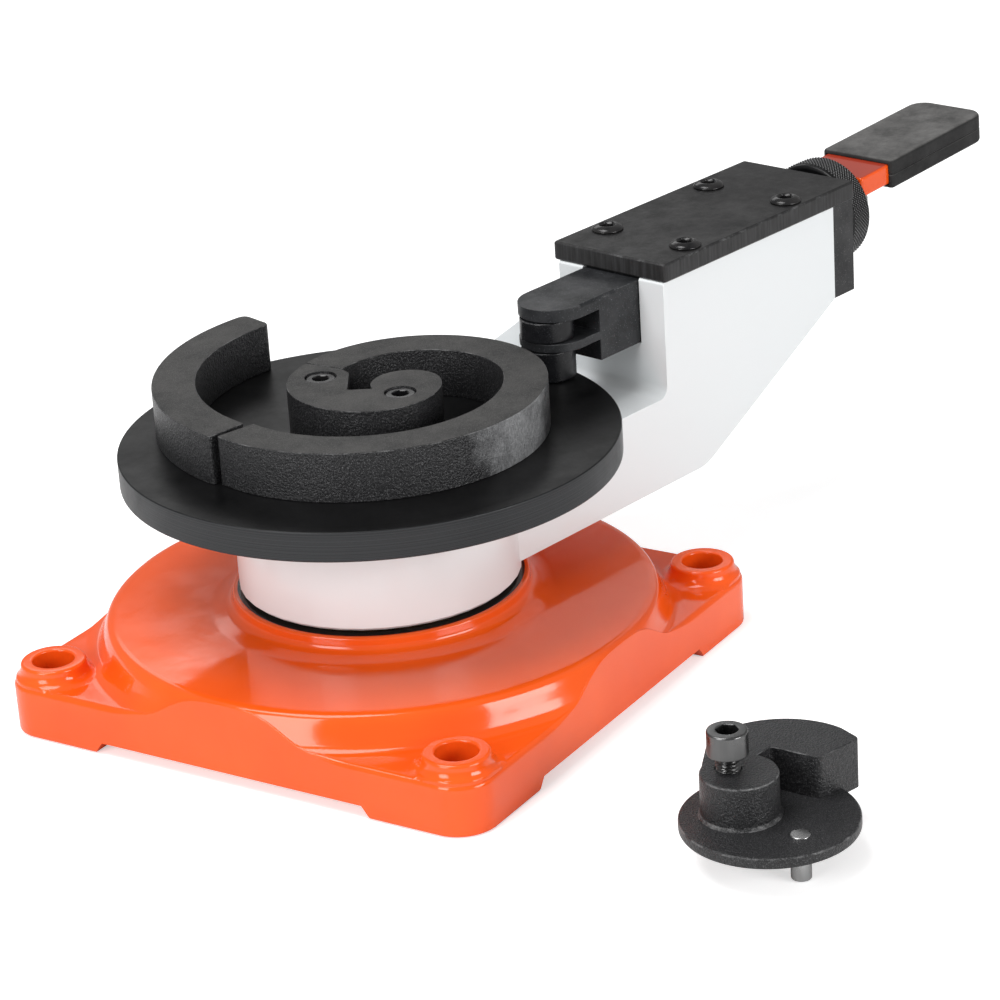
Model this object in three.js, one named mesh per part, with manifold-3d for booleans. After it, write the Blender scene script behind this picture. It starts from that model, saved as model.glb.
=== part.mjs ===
// Universal metal bender: a bench scroll bender with a swinging roller arm.
// Lengths are in millimetres. +Z is up, the arm lies along +X at rest, and the pivot stands upright.
import * as THREE from "three";
import { mergeVertices } from "three/addons/utils/BufferGeometryUtils.js";
import Module from "manifold-3d";

const wasm = await Module();
wasm.setup();

// Base casting
const baseSide = 234;
const baseCornerRadius = 16.5;
const baseTurn = THREE.MathUtils.degToRad(9.6);
const boltSpacing = 200;
const boltHole = 17.5;
const boltBoss = 28;
const boltBossHeight = 7;
const bossFillet = 4.9;
const flangeTop = 22.5;
const flangeEdge = 2.4;
const footHeight = 5.2;
const footSide = 48.6;
const footSlope = 4;
const platformTop = 37;
const platformRadius = 118;
const platformDraft = 2.6;
const platformEdge = 3.2;
const wallFillet = 5;
const seatTop = 45;
const seatRadius = 63.2;
const seatFillet = 8;
const pocketRadius = 50;
const pocketTop = 24;

// Pivot post and what holds it
const postShoulder = 56;
const postSpigot = 40;
const postEnd = 5;
const nutAcrossFlats = 55;
const nutHeight = 12;
const postWasherOuter = 72;
const postWasherThickness = 4;
const thrustThickness = 1.2;

// Swinging arm casting
const hubRadius = 60;
const hubBottom = 46.5;
const hubTop = 95.7;
const slabBottom = 51.2;
const slabTop = 92.2;
const armOffset = -20.5;
const blockWidth = 59;
const blockFront = 135.5;
const blockRear = 259.8;
const blockTop = 144.4;
const undersideStart = 161;
const undersideRise = 49;
const webThickness = 16;
const webReach = 51;
const webDrop = 13.4;
const wideReach = 60;
const wideEnd = 235;
const castingEdge = 2.5;
const bushWall = 4.4;
const bushLength = 20;

// Cover plate, end plate and their screws
const coverThickness = 8.6;
const coverWidth = 63.4;
const coverShift = 0.9;
const coverFront = 135.8;
const coverRear = 274.7;
const coverScrewRow = 73;
const coverScrewGauge = 44;
const coverScrewFirst = 161;
const coverEdge = 0.8;
const buttonHead = 14;
const buttonHeadHeight = 4.4;
const coverScrewShank = 8;
const coverScrewReach = 20;
const endPlateThickness = 15;
const endPlateBottom = 100.3;
const endScrewShank = 6;
const endScrewHead = 11.5;
const endScrewReach = 13;
const endScrewLow = 108;
const endScrewHigh = 136.5;

// Table disc
const tableTop = 110.2;
const tableThickness = 13;
const tableRadius = 105.4;
const tableEdge = 0.8;
const tableRim = 6;
const tableRimDrop = 0.1;
const tableScrewShank = 16;
const tableScrewHead = 26;
const tableScrewSocket = 10;
const tableScrewReach = 30;
const tableDowel = 6;
const tableDowelLength = 16;
const tableDowelCircle = 48;

// Scroll formers
const formerHeight = 21.2;
const formerEdge = 0.7;
const formerWall = 18.5;
const headRadius = 14.8;
const headAlong = 11.5;
const headAside = -12;
const hookRadius = 29;
const crownRadius = 39;
const ringRadius = 55;
const mainRadius = 76;
const outerRadius = 99.5;
const scrollJoinAngles = [-38, -155, -247.4, -402, -520.3];
const slotWidth = 10.4;
const slotDepth = 20.8;
const slotAngle = 41;
const slotStartAngle = 152;
const seamGap = 0.6;
const centreSeamAngle = -259;
const outerSeamAngle = -548.5;
const scrollEndAngle = -637.5;
const formerScrewShank = 8;
const formerScrewHead = 13;
const formerScrewHeadHeight = 8;
const formerScrewSink = 0.6;
const farScrewAlong = -3.4;
const farScrewAside = 22.9;
const nearScrewAlong = 1.8;
const nearScrewAside = -17.8;
const mainPinAngles = [-90, -170];
const outerPinAngles = [165, 118];
const formerPin = 8;
const formerPinLength = 18;
const tipShare = 0.3;

// Slider, rollers and draw rod
const sliderWidth = 31;
const sliderTop = 143.7;
const sliderBottom = 114.8;
const sliderRear = 231;
const sliderEdge = 1.1;
const noseCentre = 97;
const earThickness = 5.7;
const upperGap = 9.8;
const middleEar = 3.8;
const gapEnd = 108.8;
const rollerAxis = 92;
const rollerRadius = 11.75;
const rollerEdge = 0.5;
const axleDiameter = 10;
const axleHead = 16;
const axleHeadHeight = 2.2;
const axleBite = 3.2;
const rodRadius = 10;
const rodStart = 203;
const rodEnd = 314;
const rodPin = 6;
const rodPinPlace = 214;
const rodFlat = 6;

// Adjusting nut
const nutRadius = 25;
const nutFront = 281.5;
const nutThickness = 14.8;
const nutNeckRadius = 13;
const nutNeckEnd = 254.5;
const circlipPlace = 256.8;
const circlipThickness = 1.5;
const circlipRadius = 14.5;
const circlipBite = 1;
const knurlColumns = 56;
const knurlRows = 3;
const knurlDepth = 0.7;
const nutChamfer = 1.4;

// Handle
const handleTilt = THREE.MathUtils.degToRad(3);
const handleFront = 299;
const barWidth = 35.5;
const barThickness = 9.9;
const barLength = 94;
const gripStart = 21;
const gripLength = 79.5;
const gripWidth = 40.2;
const gripThickness = 14;
const gripCorner = 9;
const gripEdge = 1.6;
const handleScrewShank = 4;
const handleScrewHead = 7;
const handleScrewHeadHeight = 4;
const handleScrewBite = 6;
const handleScrewAlong = 7.5;
const handleScrewStep = 5.8;
const handleScrewGauge = 7.2;

// Spare former that stands beside the base
const spareCentre = new THREE.Vector2(-38.3, -233.9);
const spareRadius = 34.7;
const spareThickness = 4.5;
const spareStand = 13.8;
const spareHeight = 22.2;
const spareHub = new THREE.Vector2(-5.1, 9.9);
const spareHubRadius = 15.2;
const spareArmCentre = new THREE.Vector2(13.1, 3.3);
const spareArmRadius = 33.2;
const spareSlotNear = 17.9;
const spareTipNear = 20.8;
const spareSlotTop = 12.6;
const spareTipLow = -8.2;
const spareTipFar = 42.9;
const spareTipHigh = -11.1;
const spareDowel = 8;
const spareDowelPlace = new THREE.Vector2(-5.8, -18.6);
const spareScrewShank = 10;
const spareScrewHead = 16;
const spareScrewHeadHeight = 10;
const spareScrewReach = 40;
const spareScrewProud = 6.2;
const spareScrewPlace = new THREE.Vector2(-5.3, 14.8);

// Clearances, edges and facets
const fit = 0.3;
const slide = 0.4;
const clear = 0.5;
const overrun = 2;
const buttonRimShare = 0.2;
const buttonSocketShare = 0.36;
const endSocketShare = 0.66;
const socketDepthShare = 0.55;
const socketWidthShare = 0.5;
const facets = { large: 40, medium: 22, small: 14 };
const quarter = Math.PI / 2;
const fullTurn = 2 * Math.PI;

const finishes = {
  orangeEnamel: { color: 0xe8500f, roughness: 0.22, metalness: 0 },
  whiteEnamel: { color: 0xe9eaeb, roughness: 0.3, metalness: 0 },
  blackOxide: { color: 0x2a2b2d, roughness: 0.45, metalness: 0.6 },
  castBlack: { color: 0x333435, roughness: 0.7, metalness: 0.4 },
  screwBlack: { color: 0x17181a, roughness: 0.3, metalness: 0.7 },
  bronze: { color: 0xa9793c, roughness: 0.4, metalness: 0.9 },
  steel: { color: 0xb9bcc0, roughness: 0.3, metalness: 0.95 },
  rubber: { color: 0x232425, roughness: 0.85, metalness: 0 },
};

// A closed three.js geometry becomes a solid that can be joined and cut.
function solid(geometry) {
  const bare = geometry.index ? geometry.toNonIndexed() : geometry.clone();
  bare.deleteAttribute("normal");
  bare.deleteAttribute("uv");
  const merged = mergeVertices(bare);
  return new wasm.Manifold(new wasm.Mesh({
    numProp: 3,
    vertProperties: new Float32Array(merged.attributes.position.array),
    triVerts: new Uint32Array(merged.index.array),
  }));
}

function join(first, ...others) {
  return others.reduce((whole, other) => whole.add(other), first);
}

function cut(first, ...others) {
  return others.reduce((whole, other) => whole.subtract(other), first);
}

// A profile of [radius, height] points turned about Z.
function turned(profile, steps = facets.medium, at = new THREE.Vector3()) {
  const points = profile.map(([radius, height]) => new THREE.Vector2(radius, height));
  const geometry = new THREE.LatheGeometry([...points, points[0]], steps);
  geometry.rotateX(quarter);
  geometry.translate(at.x, at.y, at.z);
  return solid(geometry);
}

function rod(radius, low, high, x = 0, y = 0, steps = facets.small) {
  const geometry = new THREE.CylinderGeometry(radius, radius, high - low, steps);
  geometry.rotateX(quarter);
  geometry.translate(x, y, (low + high) / 2);
  return solid(geometry);
}

// A round bar along X between two stations.
function rodAlongX(radius, from, to, y, z, steps = facets.small) {
  const geometry = new THREE.CylinderGeometry(radius, radius, to - from, steps);
  geometry.rotateZ(-quarter);
  geometry.translate((from + to) / 2, y, z);
  return solid(geometry);
}

function block(x0, x1, y0, y1, z0, z1) {
  const geometry = new THREE.BoxGeometry(x1 - x0, y1 - y0, z1 - z0);
  geometry.translate((x0 + x1) / 2, (y0 + y1) / 2, (z0 + z1) / 2);
  return solid(geometry);
}

// An outline in the XY plane raised from low to high, with its edges broken by `edge`.
function raised(outline, low, high, edge = 0, steps = 1) {
  const shape = new THREE.Shape(outline);
  const geometry = new THREE.ExtrudeGeometry(shape, {
    depth: high - low - 2 * edge,
    bevelEnabled: edge > 0,
    bevelThickness: edge,
    bevelSize: edge,
    bevelOffset: -edge,
    bevelSegments: steps,
    curveSegments: facets.small,
  });
  geometry.translate(0, 0, low + edge);
  return solid(geometry);
}

// An outline of [x, z] points carried along Y from near to far.
function carriedAlongY(outline, near, far) {
  const shape = new THREE.Shape(outline.map(([x, z]) => new THREE.Vector2(x, z)));
  const geometry = new THREE.ExtrudeGeometry(shape, { depth: far - near, bevelEnabled: false });
  geometry.rotateX(quarter);
  geometry.translate(0, far, 0);
  return solid(geometry);
}

// An outline of [y, z] points carried along X.
function carriedAlongX(outline, from, to) {
  const shape = new THREE.Shape(outline.map(([y, z]) => new THREE.Vector2(y, z)));
  const geometry = new THREE.ExtrudeGeometry(shape, { depth: to - from, bevelEnabled: false });
  geometry.applyMatrix4(new THREE.Matrix4().makeBasis(
    new THREE.Vector3(0, 1, 0),
    new THREE.Vector3(0, 0, 1),
    new THREE.Vector3(1, 0, 0),
  ));
  geometry.translate(from, 0, 0);
  return solid(geometry);
}

function onCircle(centre, radius, degrees) {
  const angle = THREE.MathUtils.degToRad(degrees);
  return new THREE.Vector2(
    centre.x + radius * Math.cos(angle),
    centre.y + radius * Math.sin(angle),
  );
}

// Points of an arc, with steps of about `pitch` degrees and both ends kept.
function arc(centre, radius, from, to, pitch = 6) {
  const steps = Math.max(1, Math.ceil(Math.abs(to - from) / pitch));
  return Array.from({ length: steps + 1 }, (_, step) => {
    return onCircle(centre, radius, from + ((to - from) * step) / steps);
  });
}

function roundedRectangle(x0, x1, y0, y1, radius) {
  const centre = (x, y) => new THREE.Vector2(x, y);
  const pitch = 22.5;
  return [
    ...arc(centre(x1 - radius, y1 - radius), radius, 0, 90, pitch),
    ...arc(centre(x0 + radius, y1 - radius), radius, 90, 180, pitch),
    ...arc(centre(x0 + radius, y0 + radius), radius, 180, 270, pitch),
    ...arc(centre(x1 - radius, y0 + radius), radius, 270, 360, pitch),
  ];
}

function hexagon(acrossFlats, low, high, x = 0, y = 0) {
  const geometry = new THREE.CylinderGeometry(
    acrossFlats / Math.sqrt(3),
    acrossFlats / Math.sqrt(3),
    high - low,
    6,
  );
  geometry.rotateX(quarter);
  geometry.translate(x, y, (low + high) / 2);
  return solid(geometry);
}

const model = new THREE.Group();

function place(parent, name, body, finish) {
  const data = body.getMesh();
  const geometry = new THREE.BufferGeometry();
  geometry.setAttribute("position", new THREE.BufferAttribute(data.vertProperties, 3));
  geometry.setIndex(new THREE.BufferAttribute(data.triVerts, 1));
  geometry.computeVertexNormals();
  const mesh = new THREE.Mesh(geometry, new THREE.MeshStandardMaterial(finishes[finish]));
  mesh.name = name;
  parent.add(mesh);
  return mesh;
}

// The base: a square flange with bolt bosses, a drafted round platform and a filleted seat.
function baseCasting() {
  const half = baseSide / 2;
  const square = roundedRectangle(-half, half, -half, half, baseCornerRadius);
  const flange = cut(
    raised(square, -flangeEdge, flangeTop, flangeEdge, 2),
    block(-baseSide, baseSide, -baseSide, baseSide, -2 * flangeEdge, 0),
  );
  const wallFoot = platformRadius + platformDraft;
  const seatArc = arc(new THREE.Vector2(seatRadius + seatFillet, platformTop + seatFillet),
    seatFillet, -90, -180, 30);
  const wallArc = arc(new THREE.Vector2(wallFoot + wallFillet, flangeTop + wallFillet),
    wallFillet, -180, -90, 45);
  const edgeArc = arc(new THREE.Vector2(platformRadius - platformEdge, platformTop - platformEdge),
    platformEdge, 90, 10, 40);
  const platform = turned([
    [0, seatTop],
    [0, footHeight + overrun],
    [wallFoot + wallFillet, footHeight + overrun],
    ...wallArc.reverse().map((point) => [point.x, point.y]),
    ...edgeArc.reverse().map((point) => [point.x, point.y]),
    ...seatArc.map((point) => [point.x, point.y]),
    [seatRadius, seatTop - fit],
    [seatRadius - fit, seatTop],
  ], facets.large);
  const sides = raised(square, footHeight, seatTop + overrun);
  const bossTop = flangeTop + boltBossHeight;
  const bossArc = arc(new THREE.Vector2(boltBoss / 2 + bossFillet, flangeTop + bossFillet),
    bossFillet, -90, -180, 45);
  const spots = [-1, 1].flatMap((i) => [-1, 1].map((j) => [(i * boltSpacing) / 2, (j * boltSpacing) / 2]));
  const bosses = spots.map(([x, y]) => turned([
    [0, bossTop],
    [0, footHeight + overrun],
    [boltBoss / 2 + bossFillet, footHeight + overrun],
    ...bossArc.map((point) => [point.x, point.y]),
    [boltBoss / 2, bossTop - fit],
    [boltBoss / 2 - 2 * fit, bossTop],
  ], facets.medium, new THREE.Vector3(x, y, 0)).intersect(sides));
  const holes = spots.map(([x, y]) => rod(boltHole / 2, -overrun, bossTop + overrun, x, y));
  const channel = half - footSide;
  const relief = [
    [-channel - footSlope, -footHeight],
    [channel + footSlope, -footHeight],
    [channel - footSlope, footHeight],
    [-channel + footSlope, footHeight],
  ];
  return cut(
    join(flange, platform.intersect(sides), ...bosses),
    ...holes,
    carriedAlongY(relief, -baseSide, baseSide),
    carriedAlongX(relief, -baseSide, baseSide),
    rod(pocketRadius, 0, pocketTop, 0, 0, facets.medium),
    rod(postSpigot / 2 + fit, pocketTop - overrun, seatTop + overrun, 0, 0, facets.medium),
  );
}

const tableBottom = tableTop - tableThickness;
const base = new THREE.Group();
base.rotation.z = baseTurn;
model.add(base);
place(base, "base_casting", baseCasting(), "orangeEnamel");

// The pivot: a shouldered post drawn down into the base by a washer and a hexagon nut.
function pivotPost() {
  const shoulder = postShoulder / 2;
  const spigot = postSpigot / 2;
  const body = turned([
    [0, tableBottom],
    [0, postEnd],
    [spigot - clear, postEnd],
    [spigot, postEnd + clear],
    [spigot, seatTop],
    [shoulder, seatTop],
    [shoulder, tableBottom],
  ]);
  const screwLow = tableTop - tableScrewReach - overrun;
  const dowelLow = tableBottom - tableDowelLength / 2 - fit;
  return cut(
    body,
    rod(tableScrewShank / 2 + fit, screwLow, tableTop + overrun),
    ...[-1, 1].map((side) => {
      return rod(tableDowel / 2 + fit, dowelLow, tableBottom + overrun, (side * tableDowelCircle) / 2);
    }),
  );
}

place(model, "pivot_post", pivotPost(), "steel");
place(model, "post_washer", turned([
  [postSpigot / 2 + fit, pocketTop],
  [postSpigot / 2 + fit, pocketTop - postWasherThickness],
  [postWasherOuter / 2, pocketTop - postWasherThickness],
  [postWasherOuter / 2, pocketTop],
]), "steel");

const nutTop = pocketTop - postWasherThickness;
place(model, "post_nut", cut(
  hexagon(nutAcrossFlats, nutTop - nutHeight, nutTop),
  rod(postSpigot / 2 + fit, nutTop - nutHeight - overrun, nutTop + overrun, 0, 0, facets.medium),
), "blackOxide");

function thrustWasher(low) {
  return turned([
    [postShoulder / 2 + fit, low],
    [hubRadius - 2 * castingEdge, low],
    [hubRadius - 2 * castingEdge, low + thrustThickness],
    [postShoulder / 2 + fit, low + thrustThickness],
  ]);
}
place(model, "lower_thrust_washer", thrustWasher(seatTop), "bronze");

// The table: a turned disc on the post's shoulder, kept from turning by two dowels.
// Its rim stands a hair lower than the ground face that carries the formers.
const headCentre = new THREE.Vector2(headAlong, headAside);
const scrollRadii = [headRadius, hookRadius, crownRadius, ringRadius, mainRadius, outerRadius];
const scrollCentres = [headCentre];
scrollJoinAngles.forEach((angle, index) => {
  scrollCentres.push(onCircle(scrollCentres[index], scrollRadii[index] - scrollRadii[index + 1], angle));
});
const [, hookArc, crownArc, ringArc, tableArc, outerArc] = scrollCentres;
const [headJoin, hookJoin, crownJoin, ringJoin] = scrollJoinAngles;

const formerScrewPlaces = [
  new THREE.Vector2(farScrewAlong, farScrewAside),
  new THREE.Vector2(nearScrewAlong, nearScrewAside),
];
const mainPins = mainPinAngles.map((angle) => onCircle(tableArc, mainRadius - formerWall / 2, angle));
const outerPins = outerPinAngles.map((angle) => onCircle(outerArc, outerRadius - formerWall / 2, angle));

function tableDisc() {
  const rimTop = tableTop - tableRimDrop;
  const body = turned([
    [0, tableTop],
    [0, tableBottom],
    [tableRadius - tableEdge, tableBottom],
    [tableRadius, tableBottom + tableEdge],
    [tableRadius, rimTop - tableEdge],
    [tableRadius - tableEdge, rimTop],
    [tableRadius - tableRim, rimTop],
    [tableRadius - tableRim, tableTop],
  ], facets.large);
  const low = tableBottom - overrun;
  const high = tableTop + overrun;
  return cut(
    body,
    rod(tableScrewShank / 2 + fit, low, high),
    turned([
      [0, tableTop + overrun],
      [0, tableTop - tableScrewHead / 2],
      [tableScrewHead / 2 + fit + overrun, tableTop + overrun],
    ]),
    ...[-1, 1].map((side) => {
      const reach = tableBottom + tableDowelLength / 2 + fit;
      return rod(tableDowel / 2 + fit, low, reach, (side * tableDowelCircle) / 2);
    }),
    ...formerScrewPlaces.map(({ x, y }) => rod(formerScrewShank / 2 + fit, low, high, x, y)),
    ...[...mainPins, ...outerPins].map(({ x, y }) => rod(formerPin / 2 + fit, low, high, x, y)),
  );
}
place(model, "table_disc", tableDisc(), "blackOxide");
place(model, "upper_thrust_washer", thrustWasher(hubTop + fit / 2), "bronze");

const tableScrewTop = tableTop - clear;
place(model, "table_screw", cut(
  turned([
    [0, tableScrewTop],
    [0, tableTop - tableScrewReach],
    [tableScrewShank / 2, tableTop - tableScrewReach],
    [tableScrewShank / 2, tableTop - (tableScrewHead - tableScrewShank) / 2],
    [tableScrewHead / 2 - clear, tableScrewTop],
  ], facets.small),
  hexagon(tableScrewSocket, tableTop - tableScrewShank / 2, tableTop + overrun),
), "screwBlack");
[-1, 1].forEach((side, index) => {
  const half = tableDowelLength / 2;
  const name = `table_dowel_${"ab"[index]}`;
  const x = (side * tableDowelCircle) / 2;
  place(model, name, rod(tableDowel / 2, tableBottom - half, tableBottom + half, x), "steel");
});

// Scroll formers. Their outer edge is a chain of arcs that meet without a corner, each wider than the last.
const formerTop = tableTop + formerHeight;

function centreFormer() {
  const slotCorner = onCircle(headCentre, headRadius, slotStartAngle);
  const slotFoot = onCircle(slotCorner, slotWidth, slotAngle + 90);
  const slotMouth = onCircle(slotFoot, slotDepth, slotAngle);
  const outline = [
    ...arc(headCentre, headRadius, slotStartAngle, headJoin, 10),
    ...arc(hookArc, hookRadius, headJoin, hookJoin, 7).slice(1),
    ...arc(crownArc, crownRadius, hookJoin, crownJoin, 7).slice(1),
    ...arc(ringArc, ringRadius, crownJoin, centreSeamAngle, 8).slice(1),
    onCircle(ringArc, ringRadius - formerWall, centreSeamAngle),
    slotMouth,
    slotFoot,
  ].reverse();
  const sink = formerScrewHeadHeight + formerScrewSink;
  return cut(
    raised(outline, tableTop, formerTop, formerEdge),
    ...formerScrewPlaces.flatMap(({ x, y }) => [
      rod(formerScrewShank / 2 + fit, tableTop - overrun, formerTop + overrun, x, y),
      rod(formerScrewHead / 2 + fit, formerTop - sink, formerTop + overrun, x, y),
    ]),
  );
}
place(model, "centre_former", centreFormer(), "castBlack");

// A socket screw standing upright, head down to `seat`, with a hexagon socket.
function socketScrew(shank, head, headHeight, reach, seat, x, y) {
  const body = turned([
    [0, seat + headHeight],
    [0, seat - reach],
    [shank / 2 - fit, seat - reach],
    [shank / 2, seat - reach + fit],
    [shank / 2, seat],
    [head / 2, seat],
    [head / 2, seat + headHeight - 2 * fit],
    [head / 2 - 2 * fit, seat + headHeight],
  ], facets.small, new THREE.Vector3(x, y, 0));
  const top = seat + headHeight;
  return cut(body, hexagon(head * socketWidthShare, top - headHeight * socketDepthShare, top + overrun, x, y));
}

formerScrewPlaces.forEach(({ x, y }, index) => {
  const seat = formerTop - formerScrewHeadHeight - formerScrewSink;
  const reach = seat - tableBottom - clear;
  const screw = socketScrew(formerScrewShank, formerScrewHead, formerScrewHeadHeight, reach, seat, x, y);
  place(model, `former_screw_${"ab"[index]}`, screw, "screwBlack");
});

function pinned(body, pins) {
  const deep = tableTop + formerPinLength / 2 + fit;
  return cut(body, ...pins.map(({ x, y }) => rod(formerPin / 2 + fit, tableTop - overrun, deep, x, y)));
}

function mainSegment() {
  const gap = THREE.MathUtils.radToDeg(seamGap / ringRadius);
  const start = centreSeamAngle - gap;
  const innerRing = ringRadius - formerWall;
  const innerMain = mainRadius - formerWall;
  const outline = [
    ...arc(ringArc, ringRadius, start, ringJoin, 8),
    ...arc(tableArc, mainRadius, ringJoin, outerSeamAngle, 7).slice(1),
    ...arc(tableArc, innerMain, outerSeamAngle, ringJoin, 6),
    ...arc(ringArc, innerRing, ringJoin, start, 8).slice(1),
  ].reverse();
  return pinned(raised(outline, tableTop, formerTop, formerEdge), mainPins);
}
place(model, "main_segment", mainSegment(), "castBlack");

// Angle about the outer arc's centre of the place where the main segment ends, counted in the seam's own turn.
function outerStart() {
  const seam = onCircle(tableArc, mainRadius, outerSeamAngle).sub(outerArc);
  const angle = THREE.MathUtils.radToDeg(Math.atan2(seam.y, seam.x));
  return angle + 360 * Math.round((outerSeamAngle - angle) / 360);
}

function outerSegment() {
  const start = outerStart() - THREE.MathUtils.radToDeg(seamGap / (mainRadius - formerWall)) * 2;
  const inner = outerRadius - formerWall;
  const tip = formerWall / 6;
  const turn = THREE.MathUtils.radToDeg(tip / outerRadius);
  const outline = [
    ...arc(outerArc, outerRadius, start, scrollEndAngle + turn, 5),
    onCircle(outerArc, outerRadius - tip * tipShare, scrollEndAngle + turn * tipShare),
    onCircle(outerArc, outerRadius - tip, scrollEndAngle),
    onCircle(outerArc, inner + tip, scrollEndAngle),
    onCircle(outerArc, inner + tip * tipShare, scrollEndAngle + turn * tipShare),
    ...arc(outerArc, inner, scrollEndAngle + turn, start, 6),
  ].reverse();
  return pinned(raised(outline, tableTop, formerTop, formerEdge), outerPins);
}
place(model, "outer_segment", outerSegment(), "castBlack");

function formerPins(name, pins) {
  pins.forEach(({ x, y }, index) => {
    const half = formerPinLength / 2;
    place(model, `${name}_${"ab"[index]}`, rod(formerPin / 2, tableTop - half, tableTop + half, x, y), "steel");
  });
}
formerPins("main_pin", mainPins);
formerPins("outer_pin", outerPins);

// The swinging arm: a bored hub, a deep slab beside it, and the block that holds the slider.
const near = armOffset - blockWidth / 2;
const far = armOffset + blockWidth / 2;
const channelHalf = sliderWidth / 2 + slide;
const coverScrews = [0, 1].flatMap((column) => [-1, 1].map((side) => new THREE.Vector2(
  coverScrewFirst + column * coverScrewRow,
  armOffset + (side * coverScrewGauge) / 2,
)));
const endScrews = [endScrewLow, endScrewHigh].flatMap((height) => [-1, 1].map((side) => {
  return new THREE.Vector2(armOffset + (side * coverScrewGauge) / 2, height);
}));

// A profile corner rounded by an arc that is tangent to both its sides.
function roundCorner(before, corner, after, radius, pitch = 15) {
  const at = new THREE.Vector2(...corner);
  const back = new THREE.Vector2(...before).sub(at).normalize();
  const on = new THREE.Vector2(...after).sub(at).normalize();
  const half = Math.acos(back.dot(on)) / 2;
  const middle = back.clone().add(on).normalize();
  const centre = at.clone().addScaledVector(middle, radius / Math.sin(half));
  const from = at.clone().addScaledVector(back, radius / Math.tan(half)).sub(centre);
  const to = at.clone().addScaledVector(on, radius / Math.tan(half)).sub(centre);
  const start = THREE.MathUtils.radToDeg(from.angle());
  let end = THREE.MathUtils.radToDeg(to.angle());
  if (end - start > 180) end -= 360;
  if (start - end > 180) end += 360;
  return arc(centre, radius, start, end, pitch).map((point) => [point.x, point.y]);
}

function armCasting() {
  const bore = postShoulder / 2 + bushWall + 2 * fit;
  const hub = turned([
    [0, hubTop],
    [0, hubBottom],
    [hubRadius - castingEdge / 2, hubBottom],
    [hubRadius, hubBottom + castingEdge / 2],
    [hubRadius, hubTop - castingEdge / 2],
    [hubRadius - castingEdge / 2, hubTop],
  ], facets.large);
  const rise = [blockRear, slabBottom + undersideRise];
  const side = [
    [0, slabBottom],
    ...roundCorner([0, slabBottom], [undersideStart, slabBottom], rise, 8 * castingEdge),
    rise,
    [blockRear, blockTop],
    ...roundCorner([blockRear, blockTop], [blockFront, blockTop], [blockFront, slabTop], castingEdge / 2),
    ...roundCorner([blockFront, blockTop], [blockFront, slabTop], [0, slabTop], 2 * castingEdge),
    [0, slabTop],
  ];
  const plan = [
    new THREE.Vector2(0, near),
    new THREE.Vector2(blockRear, near),
    new THREE.Vector2(blockRear, far),
    new THREE.Vector2(wideEnd, far),
    new THREE.Vector2(blockFront + webThickness, wideReach),
    new THREE.Vector2(0, hubRadius),
  ];
  const whole = carriedAlongY(side, near, far);
  const lower = [
    [0, slabBottom],
    ...roundCorner([0, slabBottom], [undersideStart, slabBottom], rise, 8 * castingEdge),
    rise,
    [0, slabBottom + undersideRise],
  ];
  const wide = raised(plan, slabBottom, slabTop).intersect(carriedAlongY(lower, near, hubRadius + overrun));
  const web = carriedAlongX([
    [far - overrun, slabTop - overrun],
    [far + webReach, slabTop - overrun],
    [far + webReach, slabTop],
    [far, blockTop - webDrop],
    [far - overrun, blockTop - webDrop],
  ], blockFront, blockFront + webThickness);
  const channel = block(
    blockFront - overrun,
    blockRear + overrun,
    armOffset - channelHalf,
    armOffset + channelHalf,
    sliderBottom - slide,
    blockTop + overrun,
  );
  const bolt = coverScrewShank / 2 + fit;
  const small = endScrewShank / 2 + fit;
  return cut(
    join(hub, whole, wide, web),
    rod(bore, hubBottom - overrun, hubTop + overrun, 0, 0, facets.medium),
    channel,
    ...coverScrews.map(({ x, y }) => rod(bolt, blockTop - coverScrewReach - fit, blockTop + overrun, x, y)),
    ...endScrews.map(({ x: y, y: z }) => {
      return rodAlongX(small, blockRear - endScrewReach - fit, blockRear + overrun, y, z);
    }),
  );
}
place(model, "arm_casting", armCasting(), "whiteEnamel");

function bush(low) {
  const inner = postShoulder / 2 + fit;
  return turned([
    [inner, low],
    [inner + bushWall, low],
    [inner + bushWall, low + bushLength],
    [inner, low + bushLength],
  ]);
}
place(model, "lower_bush", bush(hubBottom), "bronze");
place(model, "upper_bush", bush(hubTop - bushLength), "bronze");

const coverTop = blockTop + coverThickness;

function coverPlate() {
  const half = coverWidth / 2;
  const middle = armOffset + coverShift;
  const outline = roundedRectangle(coverFront, coverRear, middle - half, middle + half, 2 * coverEdge);
  return cut(
    raised(outline, blockTop, coverTop, coverEdge),
    ...coverScrews.map(({ x, y }) => rod(coverScrewShank / 2 + fit, blockTop - overrun, coverTop + overrun, x, y)),
  );
}
place(model, "cover_plate", coverPlate(), "blackOxide");

// A button head screw: a shank under a low dome with a hexagon socket.
function buttonScrew({ x, y }) {
  const radius = buttonHead / 2;
  const dome = [0, 35, 70].map((degrees) => {
    const angle = THREE.MathUtils.degToRad(degrees);
    const share = buttonRimShare + (1 - buttonRimShare) * Math.sin(angle);
    return [radius * Math.cos(angle), coverTop + buttonHeadHeight * share];
  });
  const body = turned([
    [0, coverTop + buttonHeadHeight],
    [0, blockTop - coverScrewReach],
    [coverScrewShank / 2, blockTop - coverScrewReach],
    [coverScrewShank / 2, coverTop],
    [radius - fit, coverTop],
    ...dome,
    [radius / 3, coverTop + buttonHeadHeight],
  ], facets.small, new THREE.Vector3(x, y, 0));
  const socket = buttonHead * buttonSocketShare;
  const floor = coverTop + buttonHeadHeight * (1 - socketDepthShare);
  return cut(body, hexagon(socket, floor, coverTop + buttonHeadHeight + overrun, x, y));
}
coverScrews.forEach((spot, index) => {
  place(model, `cover_screw_${"abcd"[index]}`, buttonScrew(spot), "screwBlack");
});

const plateRear = blockRear + endPlateThickness;
const sliderAxis = (sliderTop + sliderBottom) / 2;

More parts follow.
